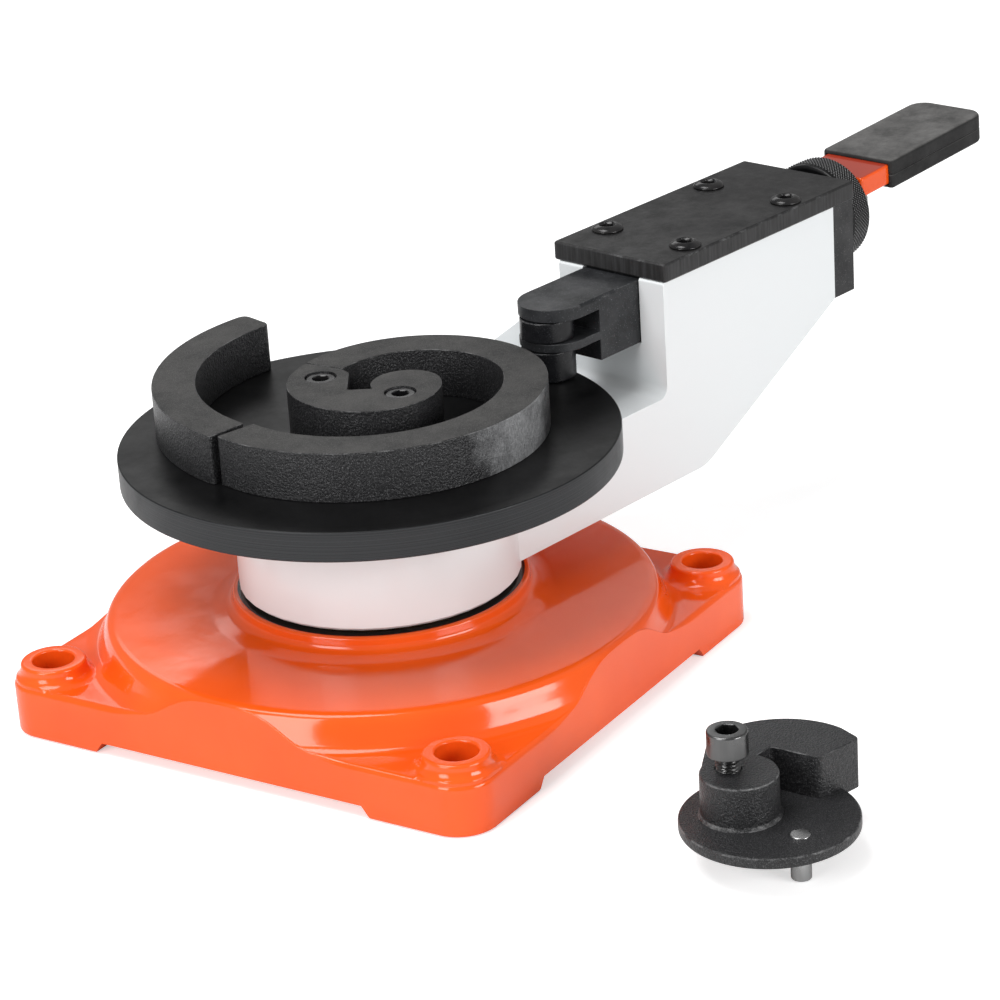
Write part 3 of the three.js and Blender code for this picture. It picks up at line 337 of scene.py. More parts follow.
def boss_ring(place):
    """A bored boss with a flared foot, kept inside the square: a point beyond the outline is scaled
    back to it towards the pivot, and sinks by up to `deepest` for the share that it lay beyond."""
    sinking, deepest = 160.0, 4.0
    profile = softened([(boss_bore, boss_low), (boss_bore, boss_top), (boss_radius - 0.3, boss_top),
                        (boss_radius, 26.2), (boss_radius + 1.6, 23.6), (boss_radius + boss_flare, 22.35),
                        (boss_radius + boss_flare, 20.0), (12.6, 18.0), (12.6, boss_low)],
                       [0, 1.1, 1.4, 1.6, 1.6, 0, 0, 0, 0], 6)
    angle = np.linspace(0.0, 2 * math.pi, 96, endpoint=False)
    direction = np.stack([np.cos(angle), np.sin(angle)], -1)
    radius = np.repeat(profile[:, :1], len(angle), 1)
    points = np.array(place) + radius[..., None] * direction
    reach = square_reach(boss_inset, np.arctan2(points[..., 1], points[..., 0]))
    beyond = np.maximum(np.linalg.norm(points, axis=-1) / reach, 1.0)
    points = points / beyond[..., None]
    heights = np.repeat(profile[:, 1:2], len(angle), 1) - np.minimum((beyond - 1) * sinking, deepest)
    heights = np.maximum(heights, boss_low)
    return ringed("boss", np.concatenate([points, heights[..., None]], -1), loop=True)


def turned_by(mesh, angle):
    """The mesh turned about the pivot's axis."""
    middle = Matrix.Translation(Vector(pivot))
    mesh.transform(middle @ Matrix.Rotation(angle, 4, "Z") @ middle.inverted())
    return mesh


def grain(finish, scale, detail=3.0, rough=0.5, stretch=(1.0, 1.0, 1.0), where=None):
    """Cloudy noise, `scale` blots a metre, drawn out by `stretch`; by default over object coordinates."""
    if where is None:
        where = coordinate(finish)
    place = linked(finish, "Mapping", {"Vector": where, "Scale": stretch})
    noise = linked(finish, "TexNoise", {"Vector": place.outputs[0], "Scale": scale, "Detail": detail,
                                        "Roughness": rough})
    return noise.outputs["Fac"]


def spread(finish, source, low, high, start=0.35, end=0.65):
    """The source between start and end stretched to run from low to high."""
    return linked(finish, "MapRange", {"Value": source, "From Min": start, "From Max": end,
                                       "To Min": low, "To Max": high}).outputs[0]


def share(finish, source, start=0.35, end=0.65):
    """How far the source has come from start to end, from 0 to 1."""
    return spread(finish, source, 0.0, 1.0, start, end)


def blended(finish, amount, first, second):
    """Two colours mixed by an amount from 0 to 1. The node has its sockets by number, as those for
    values, vectors and colours share their names."""
    first_socket, second_socket, result_socket = 6, 7, 2
    mix = linked(finish, "Mix", {"Factor": amount}, data_type="RGBA")
    for index, colour in ((first_socket, first), (second_socket, second)):
        if isinstance(colour, bpy.types.NodeSocket):
            finish.node_tree.links.new(colour, mix.inputs[index])
        else:
            mix.inputs[index].default_value = (*colour, 1.0)
    return mix.outputs[result_socket]


def relief(finish, *layers):
    """Bumps on the surface, one over the other. Each layer is a pattern and its height in millimetres."""
    normal = None
    for pattern, height in layers:
        inputs = {"Height": pattern, "Distance": height * MM, "Strength": 1.0}
        if normal is not None:
            inputs["Normal"] = normal
        normal = linked(finish, "Bump", inputs).outputs[0]
    worn(finish, "Normal", normal)


def worn(finish, socket, source):
    """The source wired to that socket of the shader."""
    shader = finish.node_tree.nodes["Principled BSDF"]
    finish.node_tree.links.new(source, shader.inputs[socket])


def coloured(finish, amount, first, second):
    """The finish's colour, mixed from two by an amount from 0 to 1."""
    worn(finish, "Base Color", blended(finish, amount, first, second))


def dulled(finish, low, high, *cloud):
    """The finish's roughness, which drifts from low to high with a grain."""
    worn(finish, "Roughness", spread(finish, grain(finish, *cloud), low, high))


def coordinate(finish, kind="Object"):
    """The surface's place in object coordinates, or its direction as "Normal"."""
    return linked(finish, "TexCoord", {}).outputs[kind]


def height_in(finish, vector):
    """The third part of a vector."""
    return linked(finish, "SeparateXYZ", {0: vector}).outputs[2]


def facing_up(finish, start=0.6, end=0.95):
    """1 where the surface faces up and 0 where it faces aside."""
    return share(finish, height_in(finish, coordinate(finish, "Normal")), start, end)


def orange_enamel(name, wave, shadow_above=1.0, top_shade=0.0):
    """Thick glossy orange enamel: it pools a little, so its tone and gloss drift, and it runs in
    slow waves with a fine orange peel. Above that height in metres, near to the pivot, it is painted near
    black, a painted shadow of the gap under the hub. Faces turned up take a painted shade by that amount."""
    enamel = finish_of(name, Specular_IOR_Level=0.42, Coat_Weight=0.12, Coat_Roughness=0.03)
    tone = share(enamel, grain(enamel, 14.0))
    enamelled = blended(enamel, tone, (0.84, 0.086, 0.006), (0.92, 0.108, 0.010))
    # Faces turned up are painted a darker red: a painted shade on the top.
    top_shade_share = product(enamel, facing_up(enamel), top_shade)
    enamelled = blended(enamel, top_shade_share, enamelled, (0.30, 0.030, 0.022))
    # Above the given height and within the seat's radius the enamel is painted near black: a painted shadow
    # of the gap under the hub.
    where = coordinate(enamel)
    away = linked(enamel, "VectorMath", {0: where, 1: tuple(pivot + seat_middle * MM)}, operation="DISTANCE")
    near = spread(enamel, away.outputs["Value"], 1.0, 0.0, seat_radius * MM, (seat_radius + 0.2) * MM)
    high = share(enamel, height_in(enamel, where), shadow_above - 0.05 * MM, shadow_above)
    painted_patch = product(enamel, near, high)
    coloured(enamel, painted_patch, enamelled, (0.012, 0.011, 0.010))
    dulled(enamel, 0.07, 0.16, 60.0)
    relief(enamel, (grain(enamel, 26.0, 1.0), wave), (grain(enamel, 95.0, 1.0), wave * 0.12),
           (grain(enamel, 420.0, 2.0), 0.012))
    return enamel


seat_middle = np.array([0.0, 0.0, seat_height])
# The seat's top under the hub is painted near black, a painted shadow of the gap between them.
base_enamel = orange_enamel("base_enamel", 0.28, (seat_height - 0.1) * MM)
shown(turned_by(base_skin(), base_turn), ["base_casting"], "base", base_enamel, 50.0)

# The pivot is a shouldered steel post, drawn down into the base by a washer and a nut in its pocket.
# Bronze washers below and above the hub take the weight of the arm.


def bright_steel(name, rough=0.24, tone=1.0):
    """Ground steel: a grey mirror, darker for a lower tone, with fine upright streaks and dull blots."""
    steel = finish_of(name, Metallic=1.0)
    streaks = grain(steel, 300.0, 2.0, 0.6, (1.0, 1.0, 0.08))
    coloured(steel, streaks, (0.36 * tone,) * 3, (0.58 * tone,) * 3)
    dulled(steel, rough - 0.06, rough + 0.12, 90.0)
    relief(steel, (streaks, 0.01))
    return steel


def bearing_bronze():
    """Turned bronze, a warm brown with fine rings and darker oiled blots."""
    bronze = finish_of("bearing_bronze", Metallic=1.0)
    coloured(bronze, grain(bronze, 70.0), (0.30, 0.15, 0.05), (0.50, 0.28, 0.10))
    dulled(bronze, 0.26, 0.42, 160.0)
    relief(bronze, (grain(bronze, 600.0, 1.0, 0.5, (0.1, 0.1, 1.0)), 0.01))
    return bronze


def dressed(finish, *nodes):
    """The nodes' own solids, in that finish."""
    for node in nodes:
        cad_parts[node].material_slots[0].material = finish


post_steel = bright_steel("post_steel")
dressed(post_steel, "pivot_post", "post_washer", "table_dowel_a", "table_dowel_b", "main_pin_a", "main_pin_b",
        "outer_pin_a", "outer_pin_b", "rod_pin", "nut_circlip", "roller_axle")
bronze = bearing_bronze()
dressed(bronze, "lower_thrust_washer", "upper_thrust_washer", "lower_bush", "upper_bush")

# The arm is one casting: a bored hub, a deep slab beside it, and the block that holds the slider.
# Its faces are milled and then sprayed with glossy white enamel, which softens every edge.


def eased(node, edge, body, finish, crease=40.0):
    """The model's own solid, shown with each edge sharper than `least` degrees rounded by a bevel."""
    rounds, least = 3, 30.0
    shape = bmesh.new()
    shape.from_mesh(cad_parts[node].data)
    bmesh.ops.remove_doubles(shape, verts=shape.verts, dist=1e-6)
    flat = math.radians(0.3)
    bmesh.ops.dissolve_limit(shape, angle_limit=flat, verts=shape.verts, edges=shape.edges)
    sharp = [e for e in shape.edges if e.is_manifold and e.calc_face_angle(0.0) > math.radians(least)]
    bmesh.ops.bevel(shape, geom=sharp, offset=edge * MM, segments=rounds, profile=0.5, affect="EDGES",
                    clamp_overlap=True)
    mesh = bpy.data.meshes.new(node + "_eased")
    shape.to_mesh(mesh)
    shape.free()
    shown(mesh, [node], body, finish, crease)


def white_enamel():
    """Glossy white enamel, very slightly blue, that drifts a little in tone under a fine orange peel."""
    enamel = finish_of("white_enamel", Coat_Weight=0.3, Coat_Roughness=0.06)
    drift = grain(enamel, 5.0, 2.0)
    coloured(enamel, drift, (0.77, 0.795, 0.805), (0.81, 0.835, 0.845))
    worn(enamel, "Roughness", spread(enamel, grain(enamel, 40.0, 2.0), 0.26, 0.36, 0.0, 1.0))
    relief(enamel, (grain(enamel, 420.0, 1.0), 0.006))
    return enamel


eased("arm_casting", 1.2, "arm", white_enamel())

# The table is a turned steel disc, blackened after turning, that carries the formers.
# Its face is ground almost smooth, and its rim keeps fine streaks from the lathe.


def around_pivot(finish):
    """Object coordinates as (distance from the pivot, height, 0), in metres, so that a pattern over
    them runs in rings."""
    where = coordinate(finish)
    centred = linked(finish, "VectorMath", {0: where, 1: tuple(pivot)}, operation="SUBTRACT").outputs[0]
    axes = linked(finish, "SeparateXYZ", {0: centred}).outputs
    flat = linked(finish, "CombineXYZ", {"X": axes[0], "Y": axes[1]}).outputs[0]
    reach = linked(finish, "VectorMath", {0: flat}, operation="LENGTH").outputs["Value"]
    return linked(finish, "CombineXYZ", {"X": reach, "Y": axes[2]}).outputs[0]


def turned_black():
    """Blackened turned steel: near black and streaked round the rim, with its face painted darker, a painted
    shade.
    """
    black = finish_of("turned_black", Specular_IOR_Level=0.18)
    up = facing_up(black)
    rings = grain(black, 5200.0, 2.0, 0.6, where=around_pivot(black))
    side = blended(black, share(black, rings, 0.38, 0.7),
                   (0.012, 0.013, 0.014), (0.060, 0.061, 0.064))
    # The face is painted darker than the rim: a painted shade on the same finish.
    face = blended(black, share(black, grain(black, 35.0, 6.0, 0.7)),
                   (0.002, 0.002, 0.0022), (0.006, 0.006, 0.0063))
    coloured(black, up, side, face)
    dulled(black, 0.28, 0.42, 40.0, 5.0, 0.7)
    relief(black, (rings, 0.003), (grain(black, 260.0, 5.0, 0.7), 0.012))
    return black


table_radius, table_low, table_rim, table_face = 105.4, 97.2, 110.1, 110.2
table_profile = softened([(8.3, table_low), (8.3, 105.3), (13.3, table_face), (99.4, table_face),
                          (99.6, table_rim), (table_radius, table_rim), (table_radius, table_low)],
                         [0, 0, 0.3, 0, 0, 0.7, 0.9], 5)
shown(turned("table_skin", table_profile, 256, loop=True), ["table_disc"], "base",
      turned_black())


def screw_black():
    """Oiled black screw steel: deep black and glossy, a little browner where it is worn."""
    black = finish_of("screw_black", Metallic=0.2)
    coloured(black, share(black, grain(black, 180.0, 4.0)), (0.006, 0.006, 0.007), (0.022, 0.021, 0.021))
    dulled(black, 0.14, 0.28, 240.0, 4.0)
    relief(black, (grain(black, 900.0, 3.0), 0.006))
    return black


screw_finish = screw_black()
dressed(screw_finish, "table_screw", "post_nut", "handle_screw_a", "handle_screw_b")

# The scroll formers are sand-cast iron, painted black, with ground tops that have browned.
# The chain of arcs grows from the hooked head, and three segments stand end to end along it.
former_height, former_wall = 21.2, 18.5
former_top = table_face + former_height
scroll_radii = np.array([14.8, 29.0, 39.0, 55.0, 76.0, 99.5])
head_radius, hook_radius, crown_radius, ring_radius, main_radius, outer_radius = scroll_radii
scroll_joins = np.array([-38.0, -155.0, -247.4, -402.0, -520.3])
head_middle = np.array([11.5, -12.0])
slot_width, slot_depth, slot_angle, slot_start = 10.4, 20.8, 41.0, 152.0
centre_seam, outer_seam, scroll_end, seam_gap = -259.0, -548.5, -637.5, 0.6


def on_circle(middle, radius, degrees):
    """Middle plus radius times (cos, sin), for one angle or for an array of them."""
    angle = np.radians(degrees)
    return np.asarray(middle) + np.stack([radius * np.cos(angle), radius * np.sin(angle)], -1)


def arc(middle, radius, start, end, pitch=1.5):
    """Points about `pitch` degrees apart on a circle, with both ends kept."""
    steps = max(2, int(math.ceil(abs(end - start) / pitch)) + 1)
    return on_circle(middle, radius, np.linspace(start, end, steps))


def raised(name, outline, profile):
    """An outline carried up a profile of (inset, height). Ring i is the outline moved inward by its
    inset along the mitred normals m = (n1 + n2) / (1 + n1.n2) of the two sides at each point."""
    outline = np.asarray(outline, float)
    onward = np.roll(outline, -1, axis=0)
    if np.sum(outline[:, 0] * onward[:, 1] - onward[:, 0] * outline[:, 1]) < 0:
        outline = outline[::-1]
    side = np.roll(outline, -1, axis=0) - outline
    side /= np.linalg.norm(side, axis=1)[:, None]
    after = np.stack([side[:, 1], -side[:, 0]], -1)
    before = np.roll(after, 1, axis=0)
    mitre = (before + after) / (1 + np.sum(before * after, axis=1))[:, None]
    profile = np.asarray(profile, float)
    rings = outline[None] - profile[:, :1, None] * mitre[None]
    heights = np.broadcast_to(profile[:, 1][:, None, None], (*rings.shape[:2], 1))
    return ringed(name, np.concatenate([rings, heights], -1))


def corners_eased(outline, reach, least=20.0):
    """The outline with only its true corners rounded, where it turns by more than `least` degrees."""
    outline = np.asarray(outline, float)
    back = outline - np.roll(outline, 1, axis=0)
    on = np.roll(outline, -1, axis=0) - outline
    bend = np.arctan2(back[:, 0] * on[:, 1] - back[:, 1] * on[:, 0], np.sum(back * on, axis=1))
    return softened(outline, np.where(abs(np.degrees(bend)) > least, reach, 0.0), 6)


centres = [head_middle]
for join, inner, outer in zip(scroll_joins, scroll_radii[:-1], scroll_radii[1:]):
    centres.append(on_circle(centres[-1], inner - outer, join))
hook_arc, crown_arc, ring_arc, main_arc, outer_arc = centres[1:]
head_join, hook_join, crown_join, ring_join = scroll_joins[:4]
slot_corner = on_circle(head_middle, head_radius, slot_start)
slot_foot = on_circle(slot_corner, slot_width, slot_angle + 90)
slot_mouth = on_circle(slot_foot, slot_depth, slot_angle)
centre_outline = np.concatenate([
    arc(head_middle, head_radius, slot_start, head_join, 4),
    arc(hook_arc, hook_radius, head_join, hook_join, 2.5)[1:],
    arc(crown_arc, crown_radius, hook_join, crown_join, 2)[1:],
    arc(ring_arc, ring_radius, crown_join, centre_seam)[1:],
    [on_circle(ring_arc, ring_radius - former_wall, centre_seam), slot_mouth, slot_foot],
])
ring_start = centre_seam - math.degrees(seam_gap / ring_radius)
main_outline = np.concatenate([
    arc(ring_arc, ring_radius, ring_start, ring_join),
    arc(main_arc, main_radius, ring_join, outer_seam)[1:],
    arc(main_arc, main_radius - former_wall, outer_seam, ring_join),
    arc(ring_arc, ring_radius - former_wall, ring_join, ring_start)[1:],
])
seam_end = on_circle(main_arc, main_radius, outer_seam) - outer_arc
two_turns = 720
outer_start = (math.degrees(math.atan2(seam_end[1], seam_end[0])) - two_turns
               - math.degrees(2 * seam_gap / (main_radius - former_wall)))
tip, tip_share = former_wall / 6, 0.3
tip_turn = math.degrees(tip / outer_radius)
outer_outline = np.concatenate([
    arc(outer_arc, outer_radius, outer_start, scroll_end + tip_turn),
    [on_circle(outer_arc, outer_radius - tip_share * tip, scroll_end + tip_share * tip_turn),
     on_circle(outer_arc, outer_radius - tip, scroll_end),
     on_circle(outer_arc, outer_radius - former_wall + tip, scroll_end),
     on_circle(outer_arc, outer_radius - former_wall + tip_share * tip, scroll_end + tip_share * tip_turn)],
    arc(outer_arc, outer_radius - former_wall, scroll_end + tip_turn, outer_start),
])
former_profile = [(0.3, table_face), (0.0, table_face + 0.3), (0.0, former_top - 0.55),
                  (0.04, former_top - 0.34), (0.13, former_top - 0.16), (0.26, former_top - 0.05),
                  (0.42, former_top)]


def rounded_edge(finish, start=0.47, end=0.62):
    """Patches of an upper rounded edge, found by the slope of its surface: 0 on the faces beside it,
    and 1 where it is worn."""
    slope = height_in(finish, coordinate(finish, "Normal"))
    rising = share(finish, slope, 0.12, 0.5)
    falling = spread(finish, slope, 1.0, 0.0, 0.6, 0.97)
    patches = share(finish, grain(finish, 120.0, 5.0, 0.7), start, end)
    return product(finish, product(finish, rising, falling), patches)


def cast_black(name, ground=True, sheen_at=None):
    """Painted sand-cast iron, glossy over the grain of the sand and worn grey along its edges. Where
    its top is ground it is smooth and has browned in blots. Round the point that it is given, the side
    carries a painted sheen, lighter grey in ragged streaks."""
    iron = finish_of(name, Specular_IOR_Level=0.38)
    up = facing_up(iron)
    sand = grain(iron, 1000.0, 2.0, 0.65)
    specks = share(iron, grain(iron, 2300.0, 1.0, 0.6), 0.54, 0.74)
    side = blended(iron, specks, (0.012, 0.012, 0.013), (0.095, 0.095, 0.098))
    # A painted sheen: round the given point the side is painted lighter grey in streaks.
    if sheen_at is not None:
        away = linked(iron, "VectorMath", {0: coordinate(iron), 1: sheen_at}, operation="DISTANCE")
        stray = spread(iron, grain(iron, 110.0, 5.0, 0.65), -0.006, 0.006)
        ragged = linked(iron, "Math", {0: away.outputs["Value"], 1: stray}, operation="ADD").outputs[0]
        streaks = share(iron, grain(iron, 1500.0, 3.0, 0.7, (1.0, 1.0, 0.3)), 0.3, 0.7)
        painted_patch = blended(iron, streaks, (0.11, 0.111, 0.114), (0.30, 0.304, 0.31))
        side = blended(iron, spread(iron, ragged, 1.0, 0.0, 0.010, 0.030), side, painted_patch)
    tone, smooth = side, 1.0
    if ground:
        blots = share(iron, grain(iron, 38.0, 10.0, 0.82), 0.38, 0.66)
        top = blended(iron, blots, (0.002, 0.002, 0.002), (0.046, 0.044, 0.042))
        tone = blended(iron, up, side, blended(iron, specks, top, (0.085, 0.083, 0.081)))
        smooth = 0.12
    coloured(iron, rounded_edge(iron), tone, (0.17, 0.17, 0.172))
    worn(iron, "Roughness", spread(iron, up, 0.32, 0.52 if ground else 0.34, 0.0, 1.0))
    depth = product(iron, spread(iron, up, 1.0, smooth, 0.0, 1.0), sand)
    relief(iron, (depth, 0.62), (grain(iron, 240.0, 3.0), 0.10))
    return iron


iron = cast_black("cast_black")
# The main segment's side carries a painted sheen, a lighter streaked patch round this point.
sheened_iron = cast_black("sheened_iron", sheen_at=tuple(pivot + np.array([11.0, -76.0, 121.0]) * MM))
former_screw_places = [(-3.4, 22.9), (1.8, -17.8)]
former_screw_seat = former_top - 8.6
centre_skin = raised("centre_skin", corners_eased(centre_outline, 1.4), former_profile)
drill_profile = [(4.3, 100.0), (4.3, former_screw_seat), (6.8, former_screw_seat), (6.8, 140.0)]
drills = [turned("drill", drill_profile, 48, place) for place in former_screw_places]
shown(combined(centre_skin, drills, "DIFFERENCE"), ["centre_former"], "base", iron, 40.0)
shown(raised("main_skin", corners_eased(main_outline, 1.4), former_profile), ["main_segment"], "base",
      sheened_iron, 40.0)
shown(raised("outer_skin", corners_eased(outer_outline, 1.4), former_profile), ["outer_segment"], "base",
      iron, 40.0)


def socketed(name, body, flats, place):
    """A turned body with a hexagon socket, whose stations are the `flats` that follow the body's."""
    marked = [False] * len(body) + [True] * len(flats)
    return turned(name, np.concatenate([body, flats]), 72, place, hexagonal=marked)


def cap_screw(place, shank, head, height, seat, reach, key):
    """A socket screw turned about its own axis: a plain shank that reaches down from the seat, a head
    with a rounded rim, and a hexagon socket `key` from its middle to its flats."""
    top = seat + height
    body = softened([(0.4, seat - reach), (shank - 0.5, seat - reach), (shank, seat - reach + 0.6),
                     (shank, seat), (head, seat), (head, top), (key + 0.9, top), (key + 0.5, top)],
                    [0, 0, 0, 0, 0.4, 0.9, 0, 0], 5, closed=False)
    flats = [(key, top - 0.35), (key, top - 0.55 * height), (0.5, top - 0.62 * height)]
    return socketed("former_screw", body, flats, place)


for letter, place in zip("ab", former_screw_places):
    shown(cap_screw(place, 4.0, 6.5, 8.0, former_screw_seat, 25.1, 3.25),
          ["former_screw_" + letter], "base", screw_finish)

# The slider is a square steel bar, forked in two steps at its nose for a pair of rollers on one axle.
# It is milled and the rollers are turned, and all are blackened in blots over the cutter's marks.


def milled_black(name, marks, dark, light, cut=None, dull=0.34):
    """Blackened milled steel: mottled, with fine cutter marks drawn out across `marks`. Its sides
    reach the colour `cut` in streaks from top to bottom, and `dull` is the least roughness."""
    black = finish_of(name, Specular_IOR_Level=0.3)
    blots = share(black, grain(black, 48.0, 8.0, 0.78), 0.36, 0.66)
    tone = blended(black, blots, dark, light)
    specks = share(black, grain(black, 1500.0, 2.0, 0.6), 0.62, 0.74)
    tone = blended(black, specks, tone, tuple(3.0 * part for part in light))
    if cut is not None:
        streaks = share(black, grain(black, 700.0, 3.0, 0.7, (1.0, 1.0, 0.05)), 0.4, 0.75)
        tone = blended(black, facing_up(black), blended(black, streaks, light, cut), tone)
    coloured(black, rounded_edge(black, 0.5, 0.66), tone, (0.13, 0.13, 0.132))
    dulled(black, dull, dull + 0.2, 75.0, 6.0, 0.7)
    relief(black, (grain(black, 420.0, 3.0, 0.6, marks), 0.03), (grain(black, 330.0, 5.0, 0.75), 0.02))
    return black


slider_black = milled_black("slider_black", (0.06, 1.0, 1.0), (0.010, 0.011, 0.012), (0.036, 0.037, 0.040))
eased("slider_bar", 0.35, "slider", slider_black)
roller_black = milled_black("roller_black", (0.3, 0.3, 1.0), (0.005, 0.005, 0.006), (0.012, 0.0125, 0.014),
                            dull=0.18)
arm_aside = -20.5
roller_place, roller_radius, roller_bore = (92.0, arm_aside), 11.75, 5.4
upper_profile = softened([(roller_bore, 128.5), (roller_radius, 128.5), (roller_radius, 137.7),
                          (roller_bore, 137.7)], [0.3, 0.7, 0.7, 0.3], 5)
lower_profile = softened([(roller_bore, 113.3), (8.4, 113.3), (8.4, 110.7), (roller_radius, 110.7),
                          (roller_radius, 124.1), (roller_bore, 124.1)], [0.2, 0.2, 0.3, 0.7, 0.7, 0.3], 5)
for side, profile in (("upper", upper_profile), ("lower", lower_profile)):
    shown(turned(side + "_roller_skin", profile, 96, roller_place, loop=True), [side + "_roller"],
          side + "_wheel", roller_black)

# A thick cover plate closes the slider's channel, held by four button head screws.
# It is sawn from blackened bar: its faces are mottled, and its edges show the cutter.
cover_black = milled_black("cover_black", (1.0, 1.0, 0.06), (0.004, 0.004, 0.0045), (0.018, 0.0175, 0.0175),
                           (0.045, 0.045, 0.047))
eased("cover_plate", 0.25, "arm", cover_black)
cover_top, cover_screw_foot, cover_screw_shank = 153.0, 124.4, 4.0


def button_screw(place):
    """A button head: a low dome over a shank, with a hexagon socket that opens in a small flat."""
    body = softened([(0.5, cover_screw_foot), (cover_screw_shank, cover_screw_foot),
                     (cover_screw_shank, cover_top), (6.9, cover_top), (7.2, cover_top + 0.5),
                     (6.6, cover_top + 1.5), (5.2, cover_top + 2.3), (4.1, cover_top + 2.6),
                     (3.5, cover_top + 2.3)],
                    [0, 0, 0, 0.3, 0.4, 1.0, 0.6, 0.2, 0], 6, closed=False)
    flats = [(2.9, cover_top + 1.6), (2.9, cover_top + 0.4), (0.5, cover_top + 0.2)]
    return socketed("button_screw", body, flats, place)


for letter, place in zip("abcd", [(161.0, -42.5), (161.0, 1.5), (234.0, -42.5), (234.0, 1.5)]):
    shown(button_screw(place), ["cover_screw_" + letter], "arm", screw_finish)

# The end plate closes the rear of the block and carries the neck of the adjusting nut.
# Four countersunk screws hold it.
plate_black = milled_black("plate_black", (1.0, 1.0, 0.06), (0.014, 0.014, 0.015), (0.040, 0.040, 0.041))
eased("end_plate", 0.35, "arm", plate_black)
dressed(screw_finish, "end_screw_a", "end_screw_b", "end_screw_c", "end_screw_d")

# The adjusting nut draws the slider in and out. Its rim is knurled: two families of grooves wind
# round it in opposite ways and leave small diamonds. Its neck turns in the end plate.
slider_axis = np.array([arm_aside, 129.25])
nut_radius, nut_front, nut_thickness, nut_chamfer = 25.0, 281.5, 14.8, 1.4
nut_bore, neck_radius, neck_front = 10.4, 13.0, 254.5
knurl_grooves, knurl_depth = 90, 0.7


def knurled_skin():
    """A loop of stations along X. On the rim r = R - depth (1 - min(t1, t2)), where t1 and t2 rise
    from 0 in a groove to 1 between two, over n a / 2 pi + x / pitch and n a / 2 pi - x / pitch."""
    steps = knurl_grooves * 8
    angle = np.linspace(0.0, 2 * math.pi, steps, endpoint=False)
    rim_front, rim_rear = nut_front + nut_chamfer, nut_front + nut_thickness - nut_chamfer
    along = np.linspace(rim_front, rim_rear, 64)
    pitch = 2 * math.pi * nut_radius / knurl_grooves
    turns = knurl_grooves * angle[None, :] / (2 * math.pi)
    first = abs(2 * ((turns + along[:, None] / pitch) % 1.0) - 1)
    second = abs(2 * ((turns - along[:, None] / pitch) % 1.0) - 1)
    fade = np.clip(np.minimum(along - rim_front, rim_rear - along) / 0.5, 0.0, 1.0)[:, None]
    knurl = nut_radius - knurl_depth * (1 - np.minimum(first, second) * fade)
    edge = nut_radius - knurl_depth
    nut_rear = rim_rear + nut_chamfer
    front = softened([(nut_bore, neck_front), (neck_radius, neck_front), (neck_radius, nut_front),
                      (edge - 1.6, nut_front), (edge - 0.4, nut_front + 0.5), (edge, rim_front)],
                     [0.3, 0.6, 0.2, 0.6, 0.5, 0], 5, closed=False)
    rear = softened([(edge, rim_rear), (edge - 0.4, rim_rear + 0.9), (edge - 1.6, nut_rear), (14.5, nut_rear),
                     (14.2, nut_rear - 0.3), (11.4, nut_rear - 0.3), (nut_bore, nut_rear - 1.2)],
                    [0, 0.5, 0.6, 0.1, 0.1, 0.2, 0.2], 5, closed=False)
    radius = np.concatenate([np.repeat(front[:, :1], steps, 1), knurl, np.repeat(rear[:, :1], steps, 1)])
    place = np.concatenate([front[:, 1], along, rear[:, 1]])
    return ringed("nut_skin", np.stack([
        np.repeat(place[:, None], steps, 1), slider_axis[0] + radius * np.cos(angle),
        slider_axis[1] + radius * np.sin(angle)], -1), loop=True)


def knurl_black():
    """Blackened knurling: dark in its grooves, with the crests of its diamonds rubbed bright."""
    black = finish_of("knurl_black", Specular_IOR_Level=0.3)
    axis = (0.0, *(pivot[1:] + slider_axis * MM))
    centred = linked(black, "VectorMath", {0: coordinate(black), 1: axis},
                     operation="SUBTRACT").outputs[0]
    across = linked(black, "VectorMath", {0: centred, 1: (0.0, 1.0, 1.0)}, operation="MULTIPLY").outputs[0]
    reach = linked(black, "VectorMath", {0: across}, operation="LENGTH").outputs["Value"]
    crest = share(black, reach, (nut_radius - 0.36) * MM, (nut_radius - 0.08) * MM)
    coloured(black, crest, (0.003, 0.003, 0.0035), (0.28, 0.28, 0.283))
    dulled(black, 0.28, 0.42, 120.0)
    relief(black, (grain(black, 700.0, 3.0), 0.01))
    return black


shown(knurled_skin(), ["adjusting_nut"], "nut", knurl_black(), 60.0)

# The draw rod is pinned in the slider and runs through the nut to the handle.
# The handle is a flat bar in orange enamel, with a moulded rubber grip pushed over it.
rod_steel = bright_steel("rod_steel", 0.3)
eased("draw_rod", 0.3, "slider", rod_steel)
# The bar's upper faces carry a painted shade, darker than its sides.
bar_enamel = orange_enamel("bar_enamel", 0.3, top_shade=0.8)
eased("handle_bar", 0.35, "slider", bar_enamel, 50.0)
handle_foot = np.array([299.0, arm_aside, 135.25])
handle_tilt = math.radians(3.0)
grip_start, grip_end, grip_half, grip_corner, front_corner = 21.0, 100.5, 20.1, 9.0, 2.2
grip_middle, grip_thickness, grip_edge = 0.3 + 9.9 / 2, 14.0, 1.7
pocket_half, pocket_low, pocket_high, pocket_end = 18.05, -0.05, 10.5, 94.5
seam_half, seam_foot, seam_depth = 0.6, 0.25, 0.4


def tilted(mesh):
    """The mesh, drawn flat with its corner at the pivot's foot, laid on the rod's tilted seat."""
    foot = Vector(pivot + handle_foot * MM)
    mesh.transform(Matrix.Translation(foot) @ Matrix.Rotation(-handle_tilt, 4, "Y")
                   @ Matrix.Translation(-Vector(pivot)))
    return mesh


